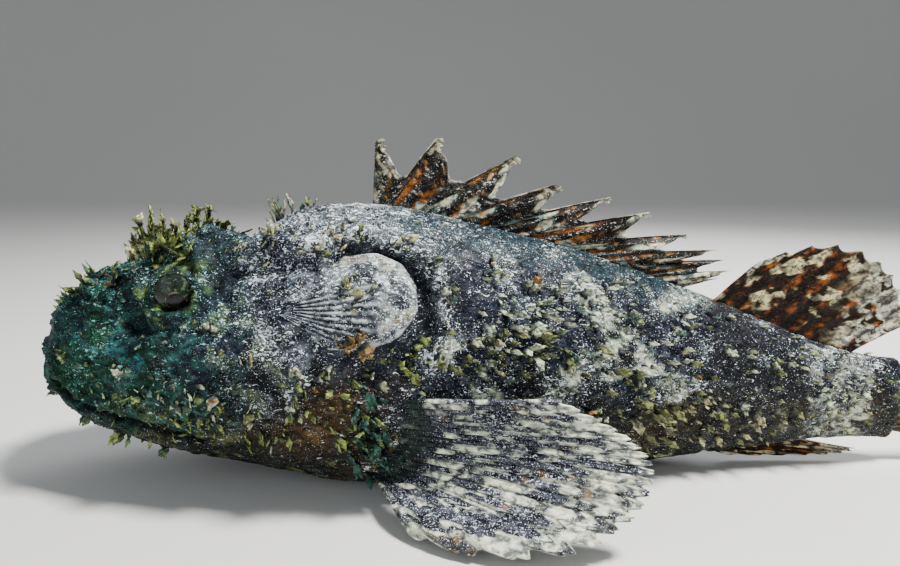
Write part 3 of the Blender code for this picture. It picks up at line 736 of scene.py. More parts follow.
    def stalk(self) -> None:
        """Paints the tail stalk dark, and the pale band behind that."""
        x = self.x
        middle, small, ragged = self.middle, self.small, self.ragged
        low, ground = self.low, self.ground
        dark = between(x, 200, 235, 4)
        ground.lay((0.008, 0.008, 0.010), dark * 0.75)
        self.share -= 0.14 * dark
        band = between(x + 9 * (middle - 0.5), 236, 257, 1.6)
        ground.lay((0.19, 0.21, 0.19), band * step(ragged, 0.38, 0.47))
        blot = step(middle + 0.4 * (small - 0.5), 0.51, 0.56)
        ground.lay((0.016, 0.017, 0.018), band * blot * 0.9)
        ground.lay((0.085, 0.085, 0.020), band * low * step(small, 0.52, 0.58) * 0.9)
        ground.lay((0.50, 0.53, 0.42), band * step(small, 0.62, 0.66) * 0.85)
        self.share += 0.12 * band * (1 - blot)

    def shades(self) -> None:
        """Darkens the skin under the back fin and in the mouth, and browns the belly."""
        x, z = self.x, self.z
        top, ground = self.top, self.ground
        shade = between(z, top - 7, top + 4, 2.5) * between(x, 104, 200, 6)
        ground.lay((0.003, 0.022, 0.030), shade * 0.7)
        self.share -= 0.10 * shade
        slit = np.exp(-((to_path(x, z, FORM.mouth) / 1.3) ** 2)) * (x < FORM.mouth_end)
        ground.lay((0.002, 0.004, 0.004), slit * 0.9)
        self.share *= 1 - slit
        belly = 1 - step(z, 0.3, 2.5)
        ground.lay((0.06, 0.042, 0.027), belly * 0.7)


@dataclass
class Skin:
    """One unbroken skin over the head, the jaw, the trunk and the tail stalk."""

    rings_nose: int = 30
    rings_head: int = 118
    rings_trunk: int = 150
    rings_end: int = 12
    around: int = 300
    pore_size: float = 1.8
    pore_depth: float = 0.16
    lump_size: float = 5.0
    lump_depth: float = 0.38
    mouth_width: float = 0.95
    mouth_depth: float = 2.4
    eye_radius: float = 8.2
    lid_opening: float = 5.2
    lid_edge: float = 0.7
    eye_axis: tuple = (0.12, 0.98, 0.05)
    nostrils: tuple = ((19.5, 57.5), (24.5, 57.0))
    neck: float = 100.0
    line_start: tuple = (125.0, 67.0)
    line_gap: float = 13.5
    line_scales: int = 11

    def places(self) -> Array:
        """The rings' places along the fish, crowded at both ends."""
        first, last = FORM.nose_round[0], LENGTH - FORM.end_round
        nose = first * (1 - np.cos(np.linspace(0, math.pi / 2, self.rings_nose)))
        head = np.linspace(first, self.neck, self.rings_head + 1)[1:]
        trunk = np.linspace(self.neck, last, self.rings_trunk + 1)[1:]
        quarter = np.linspace(0, math.pi / 2, self.rings_end + 1)[1:]
        return np.concatenate([nose, head, trunk, last + FORM.end_round * np.sin(quarter)])

    def lids(self, point: Array) -> Array:
        """Wraps the skin closely round both eyes and tucks it in under them.

        Args:
            point: The skin's points.

        Returns:
            The moved points.
        """
        for side in Side:
            centre = np.array(FORM.eye_place) * (1, side.value, 1)
            axis = np.array(self.eye_axis) * (1, side.value, 1)
            axis = axis / np.linalg.norm(axis)
            apart = point - centre
            along = apart @ axis
            across = np.linalg.norm(apart - along[..., None] * axis, axis=-1)
            dome = np.sqrt(np.clip(self.eye_radius**2 - across**2, 0, None))
            inner = step(self.lid_opening + 0.5 - across, 0.0, 1.4)
            tucked = dome + self.lid_edge - 2.2 * inner
            near = (along > -4) & (across < self.lid_opening + 0.5)
            lidded = np.where(near, tucked, np.maximum(along, dome + self.lid_edge))
            reach = 1 - step(across, 7.6, 11.5)
            moved = np.where(along > -4, along + (lidded - along) * reach, along)
            point = point + (moved - along)[..., None] * axis
        return point

    def detail(self, point: Array) -> Array:
        """How far lumps, pores, folds, the mouth, the nostrils and the side line stand out."""
        x, y, z = point[..., 0], np.abs(point[..., 1]), point[..., 2]
        rough = 1 + 0.9 * between(x, 4, 92, 6) * step(z, 18, 30)
        out = self.lump_depth * rough * 2 * (cloud(point, self.lump_size, 1, 2) - 0.5)
        out += self.pore_depth * rough * 2 * (cloud(point, self.pore_size, 2) - 0.5)
        worm = np.abs(cloud(point, 3.2, 3) - 0.5)
        out += 0.45 * rough * np.exp(-((worm / 0.05) ** 2)) * (x < 96)
        slanted = point @ np.array(((0.50, 0, -0.42), (0, 0.6, 0), (0.62, 0, 0.80))).T
        fold = np.abs(cloud(slanted, 4.0, 4, 2) - 0.5)
        folded = step(x, 90, 104) * (1 - 0.6 * step(x, 200, 230))
        out -= 0.75 * np.exp(-((fold / 0.035) ** 2)) * folded
        out *= step(x, 0.0, 1.5) * (1 - step(x, 266, 269))
        mouth = np.exp(-((to_path(x, z, FORM.mouth) / self.mouth_width) ** 2))
        out -= self.mouth_depth * mouth * (x < FORM.mouth_end)
        for place, height in self.nostrils:
            off = np.hypot(x - place, z - height)
            out += 1.1 * np.exp(-(((off - 1.9) / 0.7) ** 2)) * (y > 4)
            out -= 2.2 * np.exp(-((off / 1.1) ** 2)) * (y > 4)
        start, high = self.line_start
        for k in range(self.line_scales):
            place = start + self.line_gap * k
            height = high - 0.36 * (place - start) + 0.0008 * (place - start) ** 2
            off = np.hypot((x - place) / 3.2, (z - height) / 1.1)
            out += 0.5 * np.exp(-(off**2))
        return out

    def colours(self, point: Array) -> tuple:
        """Ground colour, fleck colour and fleck share of each of the skin's points."""
        paint = SkinPaint(point)
        paint.trunk()
        paint.flanks()
        paint.head()
        paint.throat()
        paint.gills()
        paint.stalk()
        paint.shades()
        return paint.ground.colour, paint.fleck, np.clip(paint.share, 0.02, 0.95)

    def build(self) -> Piece:
        """Builds and dresses the skin.

        Returns:
            The piece.
        """
        turns = np.linspace(-math.pi / 2, 1.5 * math.pi, self.around + 1)
        x, turn = np.meshgrid(self.places(), turns, indexing="ij")
        point = FORM.point(x, turn)
        normal = surface_normals(point)
        centre = np.stack([x, 0 * x, FORM.profile(x, 4)], axis=-1)
        normal *= np.where((normal * (point - centre)).sum(-1, keepdims=True) < 0, -1.0, 1.0)
        seam = normal[:, 0] + normal[:, -1]
        seam /= np.maximum(np.linalg.norm(seam, axis=-1, keepdims=True), 1e-9)
        normal[:, 0] = normal[:, -1] = seam
        made = point + normal * self.detail(point)[..., None]
        made = self.lids(made)
        made[..., 2] = np.maximum(made[..., 2], 0.0)
        made[:, -1] = made[:, 0]
        made[0], made[-1] = made[0, 0], made[-1, 0]
        piece = Bench.grid("skin", made)
        for key, values in zip(LAYERS, self.colours(point)):
            Bench.paint(piece, key, values)
        Bench.close(piece)
        finish = MottledFinish("wet_speckled_skin").build()
        Bench.finish(piece, finish, "skin_torso", "head", "lower_jaw", "torso", "tail_stalk")
        return piece


def bent_ray(root: Sequence, tip: Sequence, bow: Sequence, rows: int = 9) -> Array:
    """Points from root to tip along a curve that bows out in the middle.

    Args:
        root: Where it starts.
        tip: Where it ends.
        bow: How far the middle of its frame is pushed out.
        rows: How many points.

    Returns:
        The points.
    """
    t = np.linspace(0, 1, rows)[:, None]
    root, tip = np.asarray(root, float), np.asarray(tip, float)
    middle = (root + tip) / 2 + np.asarray(bow, float)
    return (1 - t) ** 2 * root + 2 * t * (1 - t) * middle + t * t * tip


@dataclass
class RaySheet:
    """A fin: a closed thin sheet carried by rays that stand up as ridges on both faces."""

    side: Side = Side.LEFT
    name: str = "fin"
    node: str = "fin"
    slot: str = "soft_fin"
    thickness: float = 1.8
    web: float = 0.34
    columns: int = 10
    rows: int = 64
    ray_width: float = 0.17
    split: float = 0.45
    spread: float = 0.24
    notch: float = 0.06
    ripple: float = 0.35

    def rays(self) -> list:
        """The rays, each an array of points from root to tip."""
        raise NotImplementedError

    def colours(self, place: Array, v: Array, near: Array, point: Array) -> tuple:
        """Ground colour, fleck colour and fleck share.

        Args:
            place: Where each point is across the fin, in rays.
            v: Where it is from root to tip.
            near: How much of it is a ray's ridge.
            point: The points themselves.

        Returns:
            The three arrays.
        """
        raise NotImplementedError

    def fall(self, place: Array) -> Array:
        """How far the edge falls back between two rays, as a share of their length."""
        share = place - np.floor(place)
        lobes = 4 * share * (1 - share)
        uneven = 0.7 + 0.6 * cloud(np.stack([place * 2, 0 * place, 0 * place], -1), 1.3, 21)
        return self.notch * lobes * uneven

    def ridge(self, place: Array, v: Array) -> Array:
        """How much of each point is a ray, with each ray forking towards the edge."""
        apart = place - np.round(place)
        fork = self.spread * step(v, self.split, 1.15)
        width = self.ray_width * (1 - 0.35 * v)
        near = np.exp(-(((apart - fork) / width) ** 2))
        near = near + np.exp(-(((apart + fork) / width) ** 2))
        return np.clip(near, 0, 1)

    def surface(self, rays: Array, place: Array, v: Array) -> Array:
        """The surface through the rays, its edge cut back between them.

        Args:
            rays: The rays' points.
            place: Places across the fin, in rays.
            v: Places from root to tip.

        Returns:
            Rows of columns of points.
        """
        steps = np.linspace(0, 1, rays.shape[1])
        indices = np.arange(len(rays), dtype=float)
        across = np.stack(
            [
                [curve_through(place, indices, rays[:, r, a]) for a in range(3)]
                for r in range(len(steps))
            ]
        )
        fall = self.fall(place)
        sheet = np.empty((self.rows, len(place), 3))
        for c in range(len(place)):
            for a in range(3):
                sheet[:, c, a] = curve_through(v * (1 - fall[c]), steps, across[:, a, c])
        return sheet

    def finish(self) -> MottledFinish:
        """The sheet's finish."""
        return MottledFinish(self.name + "_skin", fleck_size=0.7, grain=0.25, scale_depth=0.1)

    def build(self) -> Piece:
        """Builds and dresses the fin.

        Returns:
            The piece.
        """
        rays = np.array(self.rays())
        count = len(rays)
        place = np.linspace(0, count - 1, (count - 1) * self.columns + 1)
        v = np.linspace(0, 1, self.rows)
        v = v + 0.06 * np.sin(2 * math.pi * v) / (2 * math.pi) * 2
        sheet = self.surface(rays, place, v)
        vv, pp = np.meshgrid(v, place, indexing="ij")
        normal = surface_normals(sheet)
        near = self.ridge(pp, vv)
        # A ripple, then ridges on both faces and a rounded rim
        wave = np.sin(2 * math.pi * pp + 1.3 * np.sin(5 * vv)) * self.ripple * step(vv, 0.2, 0.9)
        sheet = sheet + normal * wave[..., None] * 0.5
        half = self.thickness / 2 * (self.web + (1 - self.web) * near) * (1 - 0.45 * vv)
        length = np.linalg.norm(rays[:, -1] - rays[:, 0], axis=-1).mean()
        breadth = np.linalg.norm(sheet[self.rows // 2, -1] - sheet[self.rows // 2, 0])
        to_edge = np.minimum((1 - vv) * length, vv * length)
        sides = np.minimum(pp, count - 1 - pp) / (count - 1) * breadth
        rim = np.clip(np.minimum(to_edge, sides) / 0.9, 0, 1)
        half = half * np.sqrt(1 - (1 - rim) ** 2)
        half = half * (1 + 0.25 * (cloud(sheet, 1.6, 23) - 0.5))
        front, rear = sheet + normal * half[..., None], sheet - normal * half[..., None]
        shell = np.concatenate([front, rear[:, ::-1], front[:, :1]], axis=1)
        shell[..., 2] = np.maximum(shell[..., 2], 0.02)
        piece = Bench.grid(self.name, shell)
        for key, values in zip(LAYERS, self.colours(pp, vv, near, sheet)):
            values = np.concatenate([values, values[:, ::-1], values[:, :1]], axis=1)
            Bench.paint(piece, key, values)
        Bench.close(piece)
        Bench.finish(piece, self.finish().build(), self.slot, self.node)
        return piece


@dataclass
class SpinyDorsal(RaySheet):
    """The stout spines of the back and the deeply cut skin between them."""

    name: str = "spiny_dorsal"
    node: str = "dorsal_fin_spiny"
    slot: str = "dorsal_fin"
    thickness: float = 2.9
    web: float = 0.30
    columns: int = 14
    rows: int = 72
    ray_width: float = 0.13
    split: float = 2.0
    ripple: float = 0.7
    sink: float = 5.0
    # Root's distance from the snout, then the tip's distance and height
    spines: tuple = (
        (100, 101.5, 103),
        (105, 120, 103.5),
        (112, 144, 98.5),
        (121, 156.5, 90),
        (130, 173.5, 86),
        (140, 185, 81.5),
        (150, 198, 74.5),
        (160, 207, 70),
        (170, 210, 66.5),
        (180, 211, 63.5),
        (190, 209.5, 60.5),
    )

    def rays(self) -> list:
        """The spines, each leaning a little to one side."""
        made = []
        for k, (root, tip, height) in enumerate(self.spines):
            base = FORM.plain(np.array(float(root)), np.array(math.pi / 2))[2]
            lean = 1.3 * (-1) ** k
            made.append(bent_ray((root, 0, base - self.sink), (tip, lean, height), (0, 0, 0.8)))
        return made

    def fall(self, place: Array) -> Array:
        """The skin behind each spine drops towards the next spine and rises at its front."""
        share = place - np.floor(place)
        deep = np.interp(place, (0, len(self.spines) - 1), (0.44, 0.24))
        rough = 0.06 * cloud(np.stack([place * 9, 0 * place, 0 * place], -1), 1.0, 31)
        drop = 0.30 * step(share, 0.0, 0.16) + 0.70 * step(share, 0.10, 0.72)
        return (deep + rough) * drop * (1 - step(share, 0.86, 1.0))

    def colours(self, place: Array, v: Array, near: Array, point: Array) -> tuple:
        """Near-black spines with white dots; rusty skin, mossy in front, with pale ovals."""
        share = place - np.floor(place)
        oval = cloud(np.stack([place * 4.6, v * 10, 0 * v], -1), 2.0, 33)
        speck = cloud(np.stack([place * 12, v * 30, 0 * v], -1), 1.8, 34, 2)
        shade = cloud(point, 9, 35, 2)
        streak = cloud(np.stack([place * 7, v * 5, 0 * v], -1), 1.6, 36, 2)
        ground = Ground(v, (0.010, 0.006, 0.004))
        ground.lay((0.25, 0.075, 0.008), step(streak, 0.49, 0.62) * (1 - step(v, 0.5, 0.85)))
        moss = (1 - step(place, 1.2, 3.0)) * step(shade, 0.42, 0.5)
        ground.lay((0.055, 0.055, 0.018), moss * 0.75)
        ground.lay((0.006, 0.005, 0.004), step(shade, 0.50, 0.60) * 0.85)
        ground.lay((0.040, 0.034, 0.014), step(place, 5, 9) * 0.5)
        ring = step(oval, 0.61, 0.65) * step(v, 0.16, 0.3) * (1 - step(v, 0.6, 0.8))
        ground.lay((0.25, 0.42, 0.36), ring)
        ground.lay((0.55, 0.58, 0.42), step(oval, 0.67, 0.71) * step(v, 0.2, 0.4))
        ground.lay((0.40, 0.15, 0.015), step(speck, 0.62, 0.70) * 0.7)
        spine = np.clip(near * 1.3, 0, 1)
        front = step(share, 0.80, 0.90) * step(v, 0.3, 0.5)
        ground.lay((0.004, 0.005, 0.008), np.maximum(spine, front) * 0.97)
        ground.lay((0.50, 0.50, 0.42), spine * step(speck, 0.68, 0.74) * 0.7)
        tip = step(v + 0.25 * (shade - 0.5), 0.90, 0.97) * (1 - 0.8 * step(place, 4, 7))
        ground.lay((0.60, 0.58, 0.46), tip * step(speck, 0.40, 0.52) * (1 - 0.8 * spine))
        base = 1 - step(v, 0.18, 0.34)
        ground.lay((0.006, 0.028, 0.030), base * 0.8)
        first = 1 - step(place, 0.1, 0.5)
        ground.lay((0.30, 0.28, 0.20), first * step(speck, 0.45, 0.6) * 0.7)
        fleck = flat(v, (0.60, 0.62, 0.56))
        return ground.colour, fleck, np.clip(0.02 + 0.26 * spine + 0.1 * base, 0, 1)


@dataclass
class SoftDorsal(RaySheet):
    """The soft part of the back fin."""

    name: str = "soft_dorsal"
    node: str = "dorsal_fin_soft"
    thickness: float = 1.9
    notch: float = 0.06
    sink: float = 5.0
    tips: tuple = (
        (203.5, 222, 67.5),
        (208, 229, 69),
        (213, 237, 71),
        (218, 244.5, 71.5),
        (223, 251.5, 70),
        (228, 257.5, 66.5),
        (233, 262.5, 62),
        (238, 266.5, 57),
        (243, 269.5, 51.5),
        (247, 271, 46.5),
    )

    def rays(self) -> list:
        """The soft rays behind the last spine."""
        made = []
        for k, (root, tip, height) in enumerate(self.tips):
            base = FORM.plain(np.array(float(root)), np.array(math.pi / 2))[2]
            start = (root, 0, base - self.sink)
            made.append(bent_ray(start, (tip, 1.5 * math.sin(k), height), (0, 0, 1.5)))
        return made

    def colours(self, place: Array, v: Array, near: Array, point: Array) -> tuple:
        """Dark brown with rusty rays and cream lobed blotches, paler towards the rear."""
        ray = np.round(place)
        blotch = cloud(np.stack([place * 2.2 + 0.3 * np.sin(9 * v), v * 14, 0 * v], -1), 1.5, 41, 2)
        dash = cloud(np.stack([ray * 3.7, v * 16, 0 * v], -1), 1.2, 42, 2)
        edge = cloud(point, 1.8, 43, 2)
        ground = Ground(v, (0.009, 0.005, 0.003))
        ground.lay((0.19, 0.050, 0.006), near * step(edge, 0.40, 0.58) * 0.85)
        pale = step(blotch + 0.45 * (edge - 0.5), 0.60, 0.64) * step(v, 0.15, 0.3)
        rear = step(place + 4 * (v - 0.6), 4.6, 7.6)
        pale = np.clip(pale + rear * step(dash + 0.2 * (edge - 0.5), 0.44, 0.52), 0, 1)
        ground.lay((0.50, 0.46, 0.26), pale * 0.95)
        ground.lay((0.56, 0.58, 0.52), rear * pale * 0.7)
        gap = rear * step(dash, 0.52, 0.58) * near
        ground.lay((0.010, 0.011, 0.016), gap * 0.95)
        lead = (1 - step(place, 0.25, 0.7)) * step(v, 0.5, 0.8)
        ground.lay((0.55, 0.54, 0.46), lead * step(edge, 0.4, 0.5))
        fleck = flat(v, (0.10, 0.05, 0.03))
        return ground.colour, fleck, 0.16 + 0.2 * pale


@dataclass
class AnalFin(SoftDorsal):
    """The fin under the tail stalk, laid back just above the floor."""

    name: str = "under_fin"
    node: str = "anal_fin"
    thickness: float = 1.6
    rows: int = 48
    tips: tuple = (
        (204, 216, 1.4),
        (208, 226, 1.2),
        (212, 234, 1.2),
        (216, 242, 1.3),
        (220, 249, 1.5),
        (224, 254, 2.0),
        (227.5, 257, 2.8),
        (230.5, 258.5, 3.8),
    )

    def rays(self) -> list:
        """The rays from the lower edge of the stalk."""
        made = []
        for root, tip, height in self.tips:
            base = FORM.plain(np.array(float(root)), np.array(-math.pi / 2))[2]
            made.append(bent_ray((root, 0, base + 3), (tip, 1.0, height), (0, 0.5, -1.0)))
        return made


@dataclass
class TailFin(RaySheet):
    """The rounded tail fin."""

    name: str = "tail"
    node: str = "tail_fin"
    thickness: float = 2.2
    web: float = 0.32
    notch: float = 0.05
    rows: int = 84
    count: int = 13
    length: float = 70.0
    root: tuple = (11, 32)
    edge: tuple = (1.2, 49)

    def rays(self) -> list:
        """The rays, spread evenly from the end of the stalk."""
        made = []
        for k in range(self.count):
            share = k / (self.count - 1)
            swing = 2 * share - 1
            reach = self.length * (1 - 0.17 * abs(swing) ** 2.4)
            tip = (
                LENGTH + reach,
                -3.0 + 1.2 * math.cos(3 * swing),
                self.edge[0] + (self.edge[1] - self.edge[0]) * share,
            )
            start = (266, 0, self.root[0] + (self.root[1] - self.root[0]) * share)
            made.append(bent_ray(start, tip, (0, 1.5, 2.5 * swing)))
        return made

    def colours(self, place: Array, v: Array, near: Array, point: Array) -> tuple:
        """Three dark bars on cream, with the rays dashed."""
        wobble = 0.07 * (cloud(np.stack([place * 1.5, v * 6, 0 * v], -1), 1.5, 51, 2) - 0.5)
        dash = cloud(np.stack([place * 5, v * 34, 0 * v], -1), 1.6, 52)
        at = v + wobble
        dark = np.maximum(1 - step(at, 0.10, 0.16), between(at, 0.40, 0.55, 0.03))
        dark = np.maximum(dark, between(at, 0.80, 0.92, 0.025))
        ground = Ground(v, (0.50, 0.47, 0.36))
        ground.lay((0.20, 0.15, 0.09), step(dash, 0.55, 0.68) * near * 0.8)
        ground.lay((0.060, 0.030, 0.020), dark * 0.94)
        ground.lay((0.42, 0.38, 0.28), dark * step(dash, 0.66, 0.74) * 0.8)
        fleck = flat(v, (0.16, 0.10, 0.06))
        return ground.colour, fleck, 0.2 + 0 * v


@dataclass
class BreastFin(RaySheet):
    """The great fan of a breast fin, spread just above the floor, with thick lower rays."""

    name: str = "breast"
    node: str = "breast_fin"
    slot: str = "breast_fin"
    thickness: float = 2.4
    web: float = 0.42
    columns: int = 12
    rows: int = 100
    ray_width: float = 0.40
    spread: float = 0.20
    notch: float = 0.045
    count: int = 19
    stout: int = 6
    tips: tuple = (
        (151, 45, 38.5),
        (169.5, 48, 28.5),
        (173.5, 51, 19.5),
        (166, 54, 9.5),
        (150, 57, 3.4),
        (131, 55, 1.8),
        (114, 46, 1.4),
    )
    shares: tuple = (0, 0.25, 0.5, 0.7, 0.85, 0.93, 1)
    root: tuple = ((109, 33), (103.5, 6))

    def rays(self) -> list:
        """The rays from the top one down."""
        tips, shares = np.array(self.tips, float), np.array(self.shares)
        made = []
        for k in range(self.count):
            share = k / (self.count - 1)
            tip = np.array([float(curve_through(share, shares, tips[:, a])) for a in range(3)])
            (top_x, top_z), (low_x, low_z) = self.root
            x, z = top_x + (low_x - top_x) * share, top_z + (low_z - top_z) * share
            on_skin = FORM.point(np.array(x), np.array(FORM.side_turn(x, z, False)))
            bow = np.array((4.0 * (1 - share), 6.0 + 3.0 * share, 1.5 + 5.0 * share))
            ray = bent_ray(on_skin + np.array((-3.0, -4.0, 0.0)), tip, bow)
            made.append(ray * np.array((1, self.side.value, 1)))
        return made

    def fall(self, place: Array) -> Array:
        """The lower rays stand free of their skin for longer."""
        share = place - np.floor(place)
        deep = self.notch + 0.05 * step(place, self.count - self.stout - 1, self.count - 3)
        cut = np.exp(-(((share - 0.5) / 0.24) ** 2))
        lobe = 0.35 * np.exp(-((np.minimum(share, 1 - share) / 0.09) ** 2))
        return deep * (cut + lobe)

    def ridge(self, place: Array, v: Array) -> Array:
        """Broad rays that fork, save the lowest ones."""
        apart = place - np.round(place)
        simple = step(place, self.count - self.stout - 1.2, self.count - self.stout)
        fork = self.spread * step(v, self.split, 1.1) * (1 - simple)
        width = self.ray_width * (1 - 0.48 * step(v, self.split, 1.0) * (1 - simple))
        near = np.exp(-(((apart - fork) / width) ** 4))
        near = near + np.exp(-(((apart + fork) / width) ** 4))
        return np.clip(near, 0, 1) * (0.35 + 0.65 * step(v, 0.12, 0.30))

    def colours(self, place: Array, v: Array, near: Array, point: Array) -> tuple:
        """Navy rays crossed by staggered cream patches, and skin with cream scallops."""
        ray = np.round(place)
        shift = 0.10 * np.sin(ray * 2.4) + 0.05 * np.sin(ray * 5.1)
        along = np.stack([ray * 3.1, v * 9, 0 * v], -1)
        patch = cloud(along, 1.1, 61, 2)
        dash = cloud(np.stack([ray * 3.1, v * 30, 0 * v], -1), 1.3, 62)
        ground = Ground(v, (0.022, 0.023, 0.040))
        ground.lay((0.005, 0.006, 0.012), step(patch, 0.42, 0.56) * 0.9)
        at = v + shift * 0.7
        bands = np.maximum(between(at, 0.31, 0.36, 0.02), between(at, 0.52, 0.58, 0.02))
        level = patch + 0.15 * bands + 0.27 * step(at, 0.62, 0.86)
        pale = step(level, 0.60, 0.65)
        pale = pale * (1 - 0.92 * step(dash, 0.56, 0.61))
        ground.lay((0.60, 0.64, 0.52), pale * 0.95)
        ground.lay((0.30, 0.14, 0.03), step(dash, 0.78, 0.82) * (1 - pale) * 0.4)
        between_rays = (1 - near) * (1 - 0.75 * step(patch, 0.46, 0.56))
        ground.lay(INK, between_rays * (1 - 0.55 * pale) * 0.9)
        edge = cloud(np.stack([np.floor(place) * 5.3, v * 24, 0 * v], -1), 1.2, 63, 2)
        scallop = step(edge, 0.54, 0.59) * step(np.abs(place - ray), 0.20, 0.32)
        ground.lay((0.60, 0.64, 0.50), scallop * step(v, 0.26, 0.36) * 0.85)
        # The fin's dark base: partly its own dark skin, partly painted shade next to the body
        base = 1 - step(v, 0.17, 0.27)
        ground.lay((0.010, 0.020, 0.016), base * 0.92)
        fleck = flat(v, (0.64, 0.70, 0.78))
        return ground.colour, fleck, np.clip(0.37 * (1 - pale) * (1 - base), 0.02, 1)

    def finish(self) -> MottledFinish:
        """Skin with fine, even dust."""
        return MottledFinish(
            self.name + "_skin",
            fleck_size=0.5,
            dust_size=0.32,
            cluster_size=9.0,
            grain=0.3,
            scale_depth=0.1,
        )


@dataclass
class BellyFin(RaySheet):
    """A belly fin, spread flat just above the floor behind the breast fin's root."""

    name: str = "belly"
    node: str = "belly_fin"
    slot: str = "belly_fin"
    thickness: float = 1.8
    web: float = 0.42
    notch: float = 0.10
    rows: int = 56
    tips: tuple = ((146, 41), (155, 39), (161, 35), (164.5, 30.5), (165, 26), (161, 22))
    root: tuple = (107, 119)

    def rays(self) -> list:
        """The rays, from the front one back."""
        made = []
        for k, (tip_x, tip_y) in enumerate(self.tips):
            share = k / (len(self.tips) - 1)
            start = (self.root[0] + (self.root[1] - self.root[0]) * share, 14.5 - share, 6.0)
            ray = bent_ray(start, (tip_x, tip_y, 1.35), (-6.0, 2.0, -3.2))
            made.append(ray * np.array((1, self.side.value, 1)))
        return made

    def colours(self, place: Array, v: Array, near: Array, point: Array) -> tuple:
        """Grey rays banded with cream."""
        patch = cloud(np.stack([np.round(place) * 3, v * 9, 0 * v], -1), 1.2, 71, 2)
        ground = Ground(v, (0.10, 0.085, 0.08))
        ground.lay((0.58, 0.55, 0.45), step(patch, 0.48, 0.56) * 0.9)
        ground.lay(INK, (1 - near) * 0.6)
        fleck = flat(v, (0.6, 0.6, 0.56))
        return ground.colour, fleck, 0.2 + 0 * v


@dataclass
class Tentacle(RaySheet):
    """The leafy flap that stands over an eye."""

    name: str = "eye_tassel"
    node: str = "tentacle"
    slot: str = "tassel"
    thickness: float = 1.5
    web: float = 0.6
    rows: int = 44
    columns: int = 9
    ray_width: float = 0.3
    split: float = 2.0
    ripple: float = 0.9
    root: tuple = (40, 13, 66.5)
    tips: tuple = (
        (33.5, 13, 74),
        (36, 15, 79.5),
        (40, 16, 82.5),
        (44, 16.5, 82),
        (47.5, 16.5, 79),
        (49, 15.5, 74.5),
    )

    def rays(self) -> list:
        """The flap's leaves."""
        made = []
        for k, tip in enumerate(self.tips):
            x, y, z = self.root
            start = (x + 1.5 * (k - (len(self.tips) - 1) / 2), y, z)
            made.append(bent_ray(start, tip, (0, 0.6, 0.8)) * np.array((1, self.side.value, 1)))
        return made

    def fall(self, place: Array) -> Array:
        """The leaves are cut deep between their tips."""
        share = place - np.floor(place)
        fine = cloud(np.stack([place * 6, 0 * place, 0 * place], -1), 1.0, 83)
        return 0.44 * np.exp(-(((share - 0.5) / 0.17) ** 2)) + 0.16 * fine

    def colours(self, place: Array, v: Array, near: Array, point: Array) -> tuple:
        """Dark green and olive, paler at the tips."""
        spot = cloud(point, 2.2, 81, 2)
        ground = Ground(v, (0.020, 0.050, 0.022))
        ground.lay((0.19, 0.24, 0.07), step(spot, 0.46, 0.6) * 0.9)
        ground.lay((0.34, 0.38, 0.16), step(v, 0.7, 1.0) * step(spot, 0.4, 0.6) * 0.8)
        fleck = flat(v, (0.6, 0.6, 0.45))
        return ground.colour, fleck, 0.25 + 0 * v


@dataclass
class GillCover(RaySheet):
    """The ribbed fan on the gill cover and the flap it ends in."""

    name: str = "gill_fan"
    node: str = "gill_cover"
    slot: str = "gill_cover"
    thickness: float = 1.8
    web: float = 0.40
    columns: int = 18
    rows: int = 64
    ripple: float = 0.0
    notch: float = 0.012
    apex: tuple = (77, 57.6)
    edge: tuple = (
        (95, 70.5),
        (104, 71),
        (111, 68),
        (115, 62.5),
        (115.5, 56.5),
        (111, 51),
        (103, 48),
        (93, 48),
    )

    def rays(self) -> list:
        """The ribs, which follow the skin and lift off it towards the rear."""
        made = []
        last = len(self.edge) - 1
        for k, (x, z) in enumerate(self.edge):
            ray = []
            border = min(k, last - k) / (last / 2)
            for share in np.linspace(0.1, 1, 9):
                place = self.apex[0] + (x - self.apex[0]) * share
                height = self.apex[1] + (z - self.apex[1]) * share
                turn = FORM.side_turn(place, height, self.side is Side.LEFT)
                lift = -0.5 + (0.9 + 1.8 * border) * share
                ray.append(FORM.point(np.array(place), np.array(turn), lift))
            made.append(np.array(ray))
        return made

    def colours(self, place: Array, v: Array, near: Array, point: Array) -> tuple:
        """Pale ribs over dark grooves, and a mottled flap with a frosted edge."""
        spot, fine = cloud(point, 4.2, 91, 3), cloud(point, 1.7, 92, 2)
        ribbed = self.ribbed(place, v)
        ground = Ground(v, (0.016, 0.021, 0.032))
        ground.lay((0.10, 0.125, 0.15), step(spot, 0.44, 0.56) * 0.9)
        ground.lay((0.006, 0.009, 0.016), ribbed * (1 - near) * 0.9)
        ground.lay((0.40, 0.45, 0.47), ribbed * near * step(fine, 0.34, 0.5) * 0.9)
        ground.lay((0.27, 0.29, 0.25), step(v, 0.66, 0.9) * step(spot, 0.46, 0.56) * 0.8)
        ground.lay((0.15, 0.085, 0.025), step(v, 0.7, 0.9) * step(spot, 0.60, 0.66) * 0.7)
        rim = step(v + 0.08 * (fine - 0.5), 0.93, 0.98)
        ground.lay((0.40, 0.45, 0.46), rim * 0.6)
        fleck = flat(v, FROST)
        return ground.colour, fleck, np.clip(0.46 - 0.2 * ribbed + 0.5 * (spot - 0.5), 0, 1)

    @staticmethod
    def ribbed(place: Array, v: Array) -> Array:
        """How much of each point is on the ribbed lower fan."""
        return between(place, 2.2, 6.8, 0.5) * (1 - step(v, 0.62, 0.86))

    def ridge(self, place: Array, v: Array) -> Array:
        """Two ribs to each ray in the lower fan, which fade out on the flap above and behind."""
        ribs = 0.5 + 0.5 * np.cos(4 * math.pi * place)
        ribbed = self.ribbed(place, v)
        return np.clip(ribs**1.5 * ribbed + 0.35 * (1 - ribbed), 0, 1)


